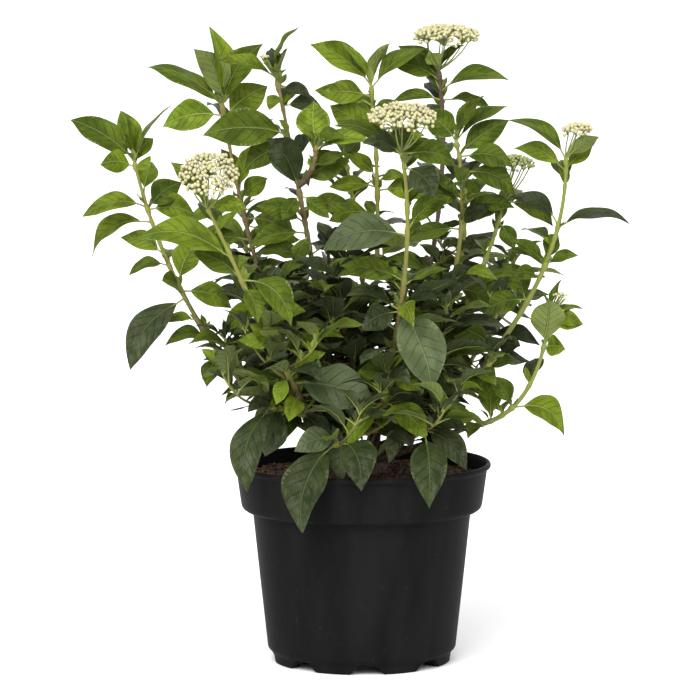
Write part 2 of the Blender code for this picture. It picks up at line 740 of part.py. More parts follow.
def tube(path, radii, sides, rings, start=0.0, end=1.0):
    """Points and faces of a tapering limb along a path, closed at both ends."""
    points = []
    side = None
    for i in range(rings):
        share = start + (end - start) * i / (rings - 1)
        heading = path.heading(share)
        if side is None:
            side = heading.cross(Vector((0, 1, 0.2))).normalized()
        side = (side - heading * side.dot(heading)).normalized()
        other = heading.cross(side)
        radius = radii[0] + (radii[1] - radii[0]) * share
        for k in range(sides):
            angle = math.tau * (k + 0.5) / sides
            points.append(
                path.point(share) + (side * math.cos(angle) + other * math.sin(angle)) * radius
            )
    faces = [tuple(reversed(range(sides)))]
    for i in range(rings - 1):
        for k in range(sides):
            a = i * sides + k
            b = i * sides + (k + 1) % sides
            faces.append((a, b, b + sides, a + sides))
    last = (rings - 1) * sides
    faces.append(tuple(last + k for k in range(sides)))
    return points, faces


def leaf_frame(leaf):
    """The directions along a leaf, across it, out of its face, and of its arch."""
    turn = math.radians(leaf.turn)
    rise = math.radians(leaf.rise)
    tilt = math.radians(leaf.tilt)
    along = Vector(
        (math.cos(turn) * math.cos(rise), math.sin(turn) * math.cos(rise), math.sin(rise))
    )
    level = along.cross(Vector((0, 0, 1))).normalized()
    upper = level.cross(along)
    face = upper * math.cos(tilt) + level * math.sin(tilt)
    return along, along.cross(face), face, upper


def leaf_solid(root, leaf, spare=0.0, whole=True):
    """Points and faces of a leaf: a thin arched blade with a keel along its underside.

    Args:
        root: The point inside the stem where the leaf starts.
        leaf: The leaf's directions and sizes.
        spare: Clear room kept on every side, when the leaf is only being tried.
        whole: Whether to start at the root, and not where the stalk widens.

    Returns:
        The points, and the faces as indices into them.
    """
    along, across, face, upper = leaf_frame(leaf)
    length = leaf.length * MM
    half = 0.5 * leaf.width * length
    rings = [(-LEAF_SUNK / length, STALK_HALF_WIDTH, STALK_DEPTH)]
    if not whole:
        rings = [(0.24, 0.4 * half, LEAF_THICKNESS)]
    rings += [(share, wide * half, LEAF_THICKNESS) for share, wide in WIDE_AT]

    def middle(share):
        lift = 4 * share * (1 - share) * leaf.arch * length
        return root + along * length * share + upper * lift

    points = []
    for share, wide, deep in rings:
        points.append(middle(share) - across * (wide + spare) + face * spare)
        points.append(middle(share) + across * (wide + spare) + face * spare)
        points.append(middle(share) - face * (deep + spare))
    points.append(middle(1.0) + along * spare)
    faces = [(0, 1, 2)]
    for ring in range(len(rings) - 1):
        for k in range(3):
            a = 3 * ring + k
            b = 3 * ring + (k + 1) % 3
            faces.append((a, b, b + 3, a + 3))
    last = 3 * (len(rings) - 1)
    faces += [(last + k, last + (k + 1) % 3, len(points) - 1) for k in range(3)]
    return points, faces


def head_solid(head, spare=0.0):
    """Points and faces of a flower head: a low dome over a shallow cone."""
    lean = math.radians(head.lean)
    up = Vector((0, -math.sin(lean), math.cos(lean)))
    side = Vector((1, 0, 0))
    front = up.cross(side)
    centre = Vector(head.centre) * MM
    radius = head.radius * MM + spare
    height = head.height * MM
    sides = 10
    points = [centre - up * (0.62 * height + spare)]
    for share, level in ((0.70, -0.38), (1.0, -0.02), (0.80, 0.30)):
        for k in range(sides):
            angle = math.tau * k / sides
            out = side * math.cos(angle) + front * math.sin(angle)
            points.append(centre + out * radius * share + up * (level * height))
    points.append(centre + up * (0.42 * height + spare))
    faces = []
    for k in range(sides):
        a = 1 + k
        b = 1 + (k + 1) % sides
        faces.append((0, b, a))
        for ring in range(2):
            low = ring * sides
            faces.append((a + low, b + low, b + low + sides, a + low + sides))
        faces.append((a + 2 * sides, b + 2 * sides, len(points) - 1))
    return points, faces


class Space:
    """What already stands in the crown, so that nothing new runs through it."""

    def __init__(self):
        """Start with nothing in the way."""
        self.taken = []

    def add(self, name, points, faces):
        """Keep a solid, with the name of what it belongs to."""
        tree = BVHTree.FromPolygons([Vector(p) for p in points], faces)
        low = Vector([min(p[i] for p in points) for i in range(3)])
        high = Vector([max(p[i] for p in points) for i in range(3)])
        self.taken.append((name, tree, low, high))

    def add_object(self, obj):
        """Keep an object's mesh."""
        points = [vertex.co.copy() for vertex in obj.data.vertices]
        self.add(obj.name, points, [tuple(face.vertices) for face in obj.data.polygons])

    def clear(self, points, faces, skip=(), only="", owner="nobody"):
        """Whether a solid stands clear of all that is taken.

        Args:
            points: The points of the solid.
            faces: Its faces.
            skip: Names of what it may touch.
            only: The one name to test against, where given.
            owner: The mass whose own stem, twigs and leaves it may touch.

        Returns:
            Whether nothing else is touched.
        """
        low = [min(p[i] for p in points) for i in range(3)]
        high = [max(p[i] for p in points) for i in range(3)]
        tree = None
        for name, other, its_low, its_high in self.taken:
            if name in skip or (only and name != only) or name.startswith(owner + " "):
                continue
            if any(low[i] > its_high[i] or high[i] < its_low[i] for i in range(3)):
                continue
            if tree is None:
                tree = BVHTree.FromPolygons([Vector(p) for p in points], faces)
            if tree.overlap(other):
                return False
        return True

    def distance(self, point, names):
        """How far a point lies outside the named solids, negative inside one."""
        least = 1.0
        for name, tree, _, _ in self.taken:
            if name not in names:
                continue
            spot, normal, _, far = tree.find_nearest(point)
            inside = (point - spot).dot(normal) < 0
            least = min(least, -far if inside else far)
        return least


def clear_start(space, path, radii, sides, others, gap=1.3 * GAP):
    """The share of the path at which a limb first stands clear of the others."""
    for i in range(300):
        share = i / 500
        points, _ = tube(path, radii, sides, 2, share, min(1.0, share + 0.01))
        ring = points[:sides]
        spots = ring + [(ring[k] + ring[(k + 1) % sides]) / 2 for k in range(sides)]
        spots.append(path.point(share))
        if min(space.distance(spot, others) for spot in spots) >= gap:
            return share
    return 0.0


def build_trunk(home, space):
    """The short woody trunk: flared at the compost, tapering and leaning to its fork."""
    foot = Vector((*TRUNK_FOOT, 0)) * MM
    foot.z = SOIL_HEIGHT + GAP
    top = Vector(TRUNK_TOP) * MM
    sides = 12
    levels = (
        (0.0, TRUNK_FLARE_RADIUS),
        (0.08, 0.84 * TRUNK_FLARE_RADIUS),
        (0.2, TRUNK_RADIUS * 1.08),
        (0.5, TRUNK_RADIUS),
        (0.85, 0.5 * (TRUNK_RADIUS + TRUNK_TOP_RADIUS)),
        (1.0, TRUNK_TOP_RADIUS),
    )
    points = []
    for share, radius in levels:
        for k in range(sides):
            angle = math.tau * k / sides
            lobed = radius * (1 + (0.12 * math.sin(5 * angle) if share == 0 else 0))
            points.append(
                foot.lerp(top, share) + Vector((math.cos(angle), math.sin(angle), 0)) * lobed
            )
    faces = [tuple(reversed(range(sides)))]
    for i in range(len(levels) - 1):
        for k in range(sides):
            a = i * sides + k
            b = i * sides + (k + 1) % sides
            faces.append((a, b, b + sides, a + sides))
    faces.append(tuple((len(levels) - 1) * sides + k for k in range(sides)))
    trunk = mesh_object("trunk", points, faces, home, "old_bark")
    space.add("trunk", points, faces)
    return trunk


def trunk_point(height):
    """The middle of the trunk at a height in mm."""
    foot_height = SOIL_HEIGHT / MM
    share = (height - foot_height) / (TRUNK_TOP[2] - foot_height)
    x = TRUNK_FOOT[0] + share * (TRUNK_TOP[0] - TRUNK_FOOT[0])
    y = TRUNK_FOOT[1] + share * (TRUNK_TOP[1] - TRUNK_FOOT[1])
    return x, y, height


def build_boughs(home, space):
    """The bare limbs, each starting just clear of the trunk and of the others.

    Returns:
        The path of each limb by its name.
    """
    names = ["trunk"]
    paths = {}
    for bough in BOUGHS:
        path = Path(trunk_point(bough.foot_height), bough.middle, bough.end)
        radii = (BOUGH_FOOT_RADIUS, BOUGH_TIP_RADIUS)
        start = clear_start(space, path, radii, 6, names)
        points, faces = tube(path, radii, 6, 4, start)
        if not space.clear(points, faces):
            print("limb in the way:", bough.name)
        mesh_object(bough.name, points, faces, home, "old_bark")
        space.add(bough.name, points, faces)
        names.append(bough.name)
        paths[bough.name] = path
    return paths


class Mass:
    """One leafy shoot as it grows: its stem, and the leaves and twigs to be fused on."""

    def __init__(self, shoot, space, limbs):
        """Set the stem just clear of the limb that bears it and of all that stands.

        Args:
            shoot: What grows here.
            space: What already stands in the crown.
            limbs: The path of each limb and stem by its name; this one is added.
        """
        self.shoot = shoot
        self.space = space
        self.pieces = []
        self.random = random.Random(f"{SEED} {shoot.name}")
        self.radii = (STEM_FOOT_RADIUS, STEM_TIP_RADIUS)
        (bearer, place), middle, tip = shoot.path
        foot = limbs[bearer].point(place) / MM
        others = ["trunk", *limbs] + [name + " stem" for name in limbs]
        for shift in (0, 5, -5, 9, -9, 14, -14, 20, -20):
            bent = (middle[0], middle[1] + shift, middle[2])
            self.path = Path(foot, bent, tip)
            start = clear_start(space, self.path, self.radii, 5, others)
            self.stem = tube(self.path, self.radii, 5, 5, start)
            if space.clear(*self.stem):
                break
        else:
            print("stem in the way:", shoot.name)
        self.start = start
        limbs[shoot.name] = self.path
        space.add(shoot.name + " stem", *self.stem)

    def add_head(self):
        """Fuse on the flower head with the stalks that spread under it."""
        head = self.shoot.head
        if not head:
            return
        points, faces = head_solid(head)
        self.space.add(self.shoot.name + " head", *head_solid(head, LEAF_CLEARANCE))
        self.pieces.append((points, faces))
        tip = self.path.point(0.985)
        centre = Vector(head.centre) * MM
        spread = head.radius * MM * 0.62
        ends = [centre]
        for k in range(5):
            angle = math.tau * (k + 0.25) / 5
            ends.append(centre + Vector((math.cos(angle), 0.8 * math.sin(angle), 0)) * spread)
        for end in ends:
            low = end - Vector((0, 0, 0.2 * head.height * MM))
            stalk = Path(tip / MM, tip.lerp(low, 0.5) / MM, low / MM)
            self.pieces.append(tube(stalk, (0.9 * MM, 0.7 * MM), 3, 2))

    def try_leaf(self, leaf, root, skip, crowded=False):
        """Place a leaf, giving way a little where it would touch something.

        Args:
            leaf: The leaf as wished.
            root: The point in the stem or twig where it starts.
            skip: Names of the solids that it may touch.
            crowded: Whether it may touch its sister leaves too, as in a tight tip.

        Returns:
            Whether a place was found.
        """
        for turn, rise, share in GIVE_WAY:
            tried = Leaf(
                leaf.at, leaf.turn + turn, leaf.rise + rise, leaf.length * share,
                leaf.tilt, leaf.width, leaf.arch,
            )
            own = self.shoot.name + " leaf"
            full = leaf_solid(root, tried, LEAF_CLEARANCE)
            roomy = leaf_solid(root, tried, LEAF_CLEARANCE, False)
            close = leaf_solid(root, tried, SISTER_CLEARANCE, False)
            if not self.space.clear(*full, owner=self.shoot.name):
                continue
            if not self.space.clear(*roomy, (*skip, own)):
                continue
            if crowded or self.space.clear(*close, only=own):
                solid = leaf_solid(root, tried)
                self.pieces.append(solid)
                self.space.add(own, *solid)
                return True
        return False

    def own_stem(self, at):
        """The stem that a leaf may touch: its own, near the tip where leaves stand close."""
        return (self.shoot.name + " stem",) if at > 0.9 else ()

    def add_seen_leaves(self):
        """The leaves that the photograph shows one by one."""
        missed = 0
        for leaf in self.shoot.leaves:
            at = max(leaf.at, self.start + 0.03)
            root = self.path.point(min(at, 0.99))
            stem = (self.shoot.name + " stem",)
            placed = self.try_leaf(leaf, root, self.own_stem(leaf.at))
            placed = placed or self.try_leaf(leaf, root, stem, True)
            missed += not placed
        return missed

    def rule_leaf(self, at, turn):
        """A leaf by the rule: larger and lower at the foot, smaller and steeper at the tip."""
        shoot = self.shoot
        length = LEAF_LENGTH + (YOUNG_LEAF_LENGTH - LEAF_LENGTH) * max(0.0, at - 0.3) / 0.7
        return Leaf(
            at,
            turn + self.random.uniform(-14, 14),
            -14 + 58 * at - shoot.droop + self.random.uniform(-9, 9),
            length * shoot.size * self.random.uniform(0.88, 1.12),
            self.random.uniform(-35, 35),
            LEAF_WIDTH_SHARE * self.random.uniform(0.9, 1.15),
            self.random.uniform(0.08, 0.18),
        )

    def add_rule_leaves(self):
        """Crossed pairs of leaves between the places of fill, and single ones to the back."""
        shoot = self.shoot
        for i in range(shoot.pairs):
            at = 0.08 + 0.91 * (i / max(1, shoot.pairs - 1)) ** 0.9
            turns = [shoot.start_turn + 90 * i, shoot.start_turn + 90 * i + 180]
            for turn in turns:
                leaf = self.rule_leaf(at, turn % 360)
                back = 50 < leaf.turn % 360 < 130
                inside = shoot.fill[0] <= at <= shoot.fill[1]
                behind = back and shoot.away[0] <= at <= shoot.away[1]
                if at > self.start + 0.02 and (inside or behind):
                    self.try_leaf(leaf, self.path.point(at), self.own_stem(at))

    def add_twigs(self):
        """Short side growths, each with two crossed pairs of young leaves."""
        for at in self.shoot.twigs:
            if at < self.start + 0.03:
                continue
            turn = self.random.uniform(0, 360)
            foot = self.path.point(at)
            for step in range(6):
                angle = math.radians(turn + 60 * step)
                out = Vector((math.cos(angle), math.sin(angle), 0))
                long = self.random.uniform(26, 40) * MM
                tip = foot + out * long * 0.62 + Vector((0, 0, long * 0.78))
                middle = foot + out * long * 0.40 + Vector((0, 0, long * 0.32))
                twig = Path(foot / MM, middle / MM, tip / MM)
                radii = (TWIG_RADIUS, 0.85 * TWIG_RADIUS)
                wide = (radii[0] + LEAF_CLEARANCE, radii[1] + LEAF_CLEARANCE)
                if self.space.clear(*tube(twig, wide, 3, 3, 0.22, 1.0)):
                    self.pieces.append(tube(twig, radii, 3, 3))
                    name = f"{self.shoot.name} twig {at}"
                    self.space.add(name, *tube(twig, radii, 3, 3, 0.15, 1.0))
                    self.add_twig_leaves(twig, turn + 60 * step, name)
                    break

    def add_twig_leaves(self, twig, turn, name):
        """The young leaves of one side growth."""
        for at, first, share in ((0.62, 90, 0.9), (0.97, 0, 0.75)):
            for side in (0, 180):
                leaf = Leaf(
                    at,
                    (turn + first + side + self.random.uniform(-15, 15)) % 360,
                    22 + self.random.uniform(-12, 22),
                    YOUNG_LEAF_LENGTH * share * self.random.uniform(0.85, 1.1),
                    self.random.uniform(-40, 40),
                    LEAF_WIDTH_SHARE * self.random.uniform(0.9, 1.1),
                    0.12,
                )
                self.try_leaf(leaf, twig.point(at), (name,))

    def paint(self):
        """The name of the material that suits the age of the leaves."""
        if self.shoot.name in YOUNG:
            return "young_leaf_green"
        if self.shoot.name.startswith(OLD):
            return "old_leaf_green"
        return "leaf_green"

    def fuse(self, home):
        """Join the stem, twigs, leaves and head into one solid.

        A mass that doesn't come out closed is joined again by the other solver, and
        after that with its last leaf left out, until it does.
        """
        while True:
            for solver in ("EXACT", "MANIFOLD"):
                obj = self.joined(home, solver)
                if tidy(obj):
                    obj.data.materials.clear()
                    obj.data.materials.append(material(self.paint()))
                    return obj
                print(self.shoot.name, "isn't closed with", solver)
                bpy.data.objects.remove(obj, do_unlink=True)
            self.pieces.pop()

    def joined(self, home, solver):
        """The stem with one union over the collection of all that grows on it."""
        name = self.shoot.name
        obj = mesh_object(name, *self.stem, home)
        face_out(obj)
        extras = bpy.data.collections.new(name + "_growth")
        bpy.context.scene.collection.children.link(extras)
        for i, (points, faces) in enumerate(self.pieces):
            piece = mesh_object(f"{name}_{i}", points, faces, extras)
            face_out(piece)
        join = obj.modifiers.new("Growth", "BOOLEAN")
        join.operation = "UNION"
        join.solver = solver
        join.operand_type = "COLLECTION"
        join.collection = extras
        apply_modifiers(obj)
        for piece in list(extras.objects):
            bpy.data.objects.remove(piece, do_unlink=True)
        bpy.data.collections.remove(extras)
        return obj


def tidy(obj):
    """Weld the slivers that the union leaves and keep the largest piece.

    Args:
        obj: The joined object, whose mesh is changed.

    Returns:
        Whether the mesh came out closed with one of the weld distances.
    """
    joined = obj.data.copy()
    closed = False
    for weld in WELDS:
        work = bmesh.new()
        work.from_mesh(joined)
        bmesh.ops.remove_doubles(work, verts=work.verts, dist=weld)
        bmesh.ops.dissolve_degenerate(work, edges=work.edges, dist=0.5 * weld)
        keep_largest(work)
        loose = [vertex for vertex in work.verts if not vertex.link_faces]
        bmesh.ops.delete(work, geom=loose, context="VERTS")
        sound = is_closed(work) and stays_whole(work)
        if sound or (is_closed(work) and not closed):
            work.to_mesh(obj.data)
            closed = True
        work.free()
        if sound:
            break
    bpy.data.meshes.remove(joined)
    return closed


def is_closed(work):
    """Whether each edge of the mesh has two faces."""
    return all(len(edge.link_faces) == 2 for edge in work.edges)


def stays_whole(work):
    """Whether the mesh is one closed piece still when its finest details are welded."""
    tried = work.copy()
    bmesh.ops.remove_doubles(tried, verts=tried.verts, dist=FINE_WELD)
    whole = is_closed(tried) and len(face_groups(tried)) == 1
    tried.free()
    return whole


def face_groups(work):
    """The faces in groups that are joined along edges with two faces, smallest first."""
    unseen = set(work.faces)
    groups = []
    while unseen:
        group = {unseen.pop()}
        front = list(group)
        while front:
            for edge in front.pop().edges:
                if len(edge.link_faces) != 2:
                    continue
                for other in edge.link_faces:
                    if other in unseen:
                        unseen.discard(other)
                        group.add(other)
                        front.append(other)
        groups.append(group)
    return sorted(groups, key=len)


def keep_largest(work):
    """Drop loose scraps, keeping the piece with the most faces."""
    for group in face_groups(work)[:-1]:
        bmesh.ops.delete(work, geom=list(group), context="FACES")


def main():
    """Build the pot, the compost and the shrub from the trunk outwards."""
    clear_scene()
    home = collection("potted_laurustinus")
    space = Space()
    space.add_object(build_pot(home))
    space.add_object(build_compost(home))
    build_trunk(home, space)
    limbs = build_boughs(home, space)
    masses = [Mass(shoot, space, limbs) for shoot in SHOOTS]
    for mass in masses:
        mass.add_head()
    for mass in masses:
        missed = mass.add_seen_leaves()
        if missed:
            print(mass.shoot.name, "leaves without room:", missed)
    for mass in masses:
        mass.add_twigs()
    for mass in masses:
        mass.add_rule_leaves()
    for mass in masses:
        obj = mass.fuse(home)
        print(obj.name, len(mass.pieces), "pieces", len(obj.data.polygons), "faces")


if __name__ == "__main__":
    main()
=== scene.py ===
"""Looks of a potted laurustinus: an evergreen shrub in a round black nursery pot.

The limbs, shoots and leaves grow by the same rule and from the same sizes as the
solids, and are drawn here as curved blades, round stems, bark and flower buds. The
tables are in millimetres and degrees, and everything else is in metres. The front of
the plant faces -Y, and +X is to its right.
"""

import logging
import math
from dataclasses import dataclass, field, replace
from enum import Enum
from random import Random
from typing import Any, Iterable, Sequence, Union

import bpy
import numpy as np
from bpy.types import Material, NodeSocket, Object
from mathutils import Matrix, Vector, noise
from mathutils.bvhtree import BVHTree


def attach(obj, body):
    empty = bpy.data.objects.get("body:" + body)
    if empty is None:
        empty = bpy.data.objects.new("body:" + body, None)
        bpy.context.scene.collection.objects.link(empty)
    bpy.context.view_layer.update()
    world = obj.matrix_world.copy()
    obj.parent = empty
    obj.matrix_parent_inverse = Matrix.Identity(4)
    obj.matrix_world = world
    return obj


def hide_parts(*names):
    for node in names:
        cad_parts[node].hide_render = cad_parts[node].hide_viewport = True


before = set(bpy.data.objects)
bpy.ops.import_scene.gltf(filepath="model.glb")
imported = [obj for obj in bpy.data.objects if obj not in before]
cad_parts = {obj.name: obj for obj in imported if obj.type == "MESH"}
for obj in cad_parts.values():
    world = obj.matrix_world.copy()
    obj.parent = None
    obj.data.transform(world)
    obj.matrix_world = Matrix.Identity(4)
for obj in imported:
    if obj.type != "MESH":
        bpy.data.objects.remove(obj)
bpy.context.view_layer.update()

log = logging.getLogger("laurustinus")

Point = tuple[float, float, float]
Colour = tuple[float, float, float]
Solid = tuple[list[Vector], list[tuple[int, ...]]]

MM = 0.001
GAP = 0.3 * MM
ROOT = "root"

# Sizes of the compost and the trunk that the growth rule reads
SOIL_HEIGHT = 165.0 * MM
TRUNK_FLARE_RADIUS = 9.5 * MM
TRUNK_RADIUS = 6.2 * MM
TRUNK_TOP_RADIUS = 4.8 * MM
TRUNK_FOOT = (8, 2)
TRUNK_TOP = (12, 6, 212)

# Radii of the limbs at the foot and at the tip, as the growth rule keeps room for them
BOUGH_RADII = (3.4 * MM, 2.6 * MM)
STEM_RADII = (2.5 * MM, 2.0 * MM)
TWIG_RADIUS = 1.3 * MM

# Leaves: lengths in mm, and the thickness, stalk and clear room of their solids
LEAF_LENGTH = 58.0
YOUNG_LEAF_LENGTH = 38.0
LEAF_WIDTH_SHARE = 0.42
LEAF_THICKNESS = 1.0 * MM
LEAF_CLEARANCE = 0.5 * MM
SISTER_CLEARANCE = 0.3 * MM
LEAF_SUNK = 0.3 * MM
STALK_HALF_WIDTH = 0.7 * MM
STALK_DEPTH = 1.0 * MM
WIDE_AT = ((0.33, 0.92), (0.68, 0.88))

# The seed of the growth, and the number that marks a leaf as one of the extra ones
SEED = 41
EXTRA = 100

# How many finer side growths, and rounds of finer leaves, a shoot in full has
FINE_TWIGS = 3
FINE_LEAVES = 7

# The length in mm below which a leaf is one of the small new ones
SMALL_LEAF = 24

# How far the middle of a stem moves to the side, in mm, to find its way between the limbs
STEM_SHIFTS = (0, 5, -5, 9, -9, 14, -14, 20, -20)

# Height below which the crown is full, where finer growth stands all round the stems
# Below it most larger leaves are deep green, partly as painted shade
LOW_CROWN = 330 * MM

# The map that places each leaf, stem and bud in a cell, and its copy for baked colours
GROWTH_MAP = "Growth"
BAKE_MAP = "OFBake"
CELLS = 4

# How a leaf gives way: change of turn and of rise in degrees, and share of its length
GIVE_WAY = (
    (0, 0, 1.0), (9, 0, 1.0), (-9, 0, 1.0), (0, 5, 1.0), (0, -5, 1.0),
    (17, 2, 1.0), (-17, 2, 1.0), (17, -5, 1.0), (-17, -5, 1.0), (26, 0, 1.0), (-26, 0, 1.0),
    (0, 0, 0.88), (12, 8, 0.88), (-12, 8, 0.88), (34, 0, 0.95), (-34, 0, 0.95),
    (0, 14, 0.78), (20, -12, 0.78), (-20, -12, 0.78),
)


@dataclass(frozen=True)
class Leaf:
    """One leaf: its place on the stem, compass turn, rise, length in mm, and tilt."""

    at: float
    turn: float
    rise: float
    length: float
    tilt: float = 0.0
    width: float = LEAF_WIDTH_SHARE
    arch: float = 0.10


def leaves(*rows: tuple[float, ...]) -> tuple[Leaf, ...]:
    """Leaves from rows of their values, in the order of a leaf's fields."""
    return tuple(Leaf(*row) for row in rows)


@dataclass(frozen=True)
class Head:
    """A flat-topped flower head: its middle in mm, radius, height and lean to the front."""

    centre: Point
    radius: float
    height: float
    lean: float = 10.0


@dataclass(frozen=True)
class Bough:
    """A bare limb from the trunk, through a middle point to its end, in mm."""

    name: str
    foot_height: float
    middle: Point
    end: Point


@dataclass(frozen=True)
class Shoot:
    """A leafy shoot: the limb that bears it and the place there, its line, and what it carries.

    The line runs through a middle point to the tip, in mm. Rule leaves stand in crossed
    pairs between the two places of fill, and away leaves point to the back only. Twigs
    are short side growths in the leaf axils, at the given places. Extra leaves stand
    behind and between those that have a solid, as a small head of too few buds for a
    solid does, and fullness is the share of the finer growth that the shoot has.
    """

    name: str
    bearer: str
    place: float
    middle: Point
    tip: Point
    leaves: tuple[Leaf, ...] = ()
    head: Head | None = None
    fill: tuple[float, float] = (0.0, 0.0)
    away: tuple[float, float] = (0.0, 0.0)
    pairs: int = 7
    start_turn: float = 0.0
    size: float = 1.0
    droop: float = 0.0
    twigs: tuple[float, ...] = ()
    fullness: float = 1.0
    small_head: Head | None = None
    extra: tuple[Leaf, ...] = ()


BOUGHS = (
    Bough("bough_left", 176, (-48, -4, 204), (-104, -12, 245)),
    Bough("bough_left_front", 182, (-22, -38, 206), (-60, -60, 240)),
    Bough("bough_left_rear", 200, (-22, 26, 208), (-53, 38, 226)),
    Bough("bough_centre", 211, (-4, 4, 224), (-25, 2, 240)),
    Bough("bough_centre_front", 190, (14, -22, 203), (15, -46, 226)),
    Bough("bough_rear", 196, (8, 30, 208), (5, 50, 224)),
    Bough("bough_top", 207, (24, 32, 216), (33, 54, 228)),
    Bough("bough_right_rear", 204, (32, 16, 216), (51, 28, 230)),
    Bough("bough_right", 186, (58, -4, 212), (104, -6, 258)),
    Bough("bough_right_low", 174, (50, -14, 190), (94, -18, 208)),
    Bough("bough_rear_left_low", 184, (-22, 42, 192), (-48, 78, 218)),
    Bough("bough_rear_right_low", 180, (40, 42, 194), (72, 76, 220)),
)

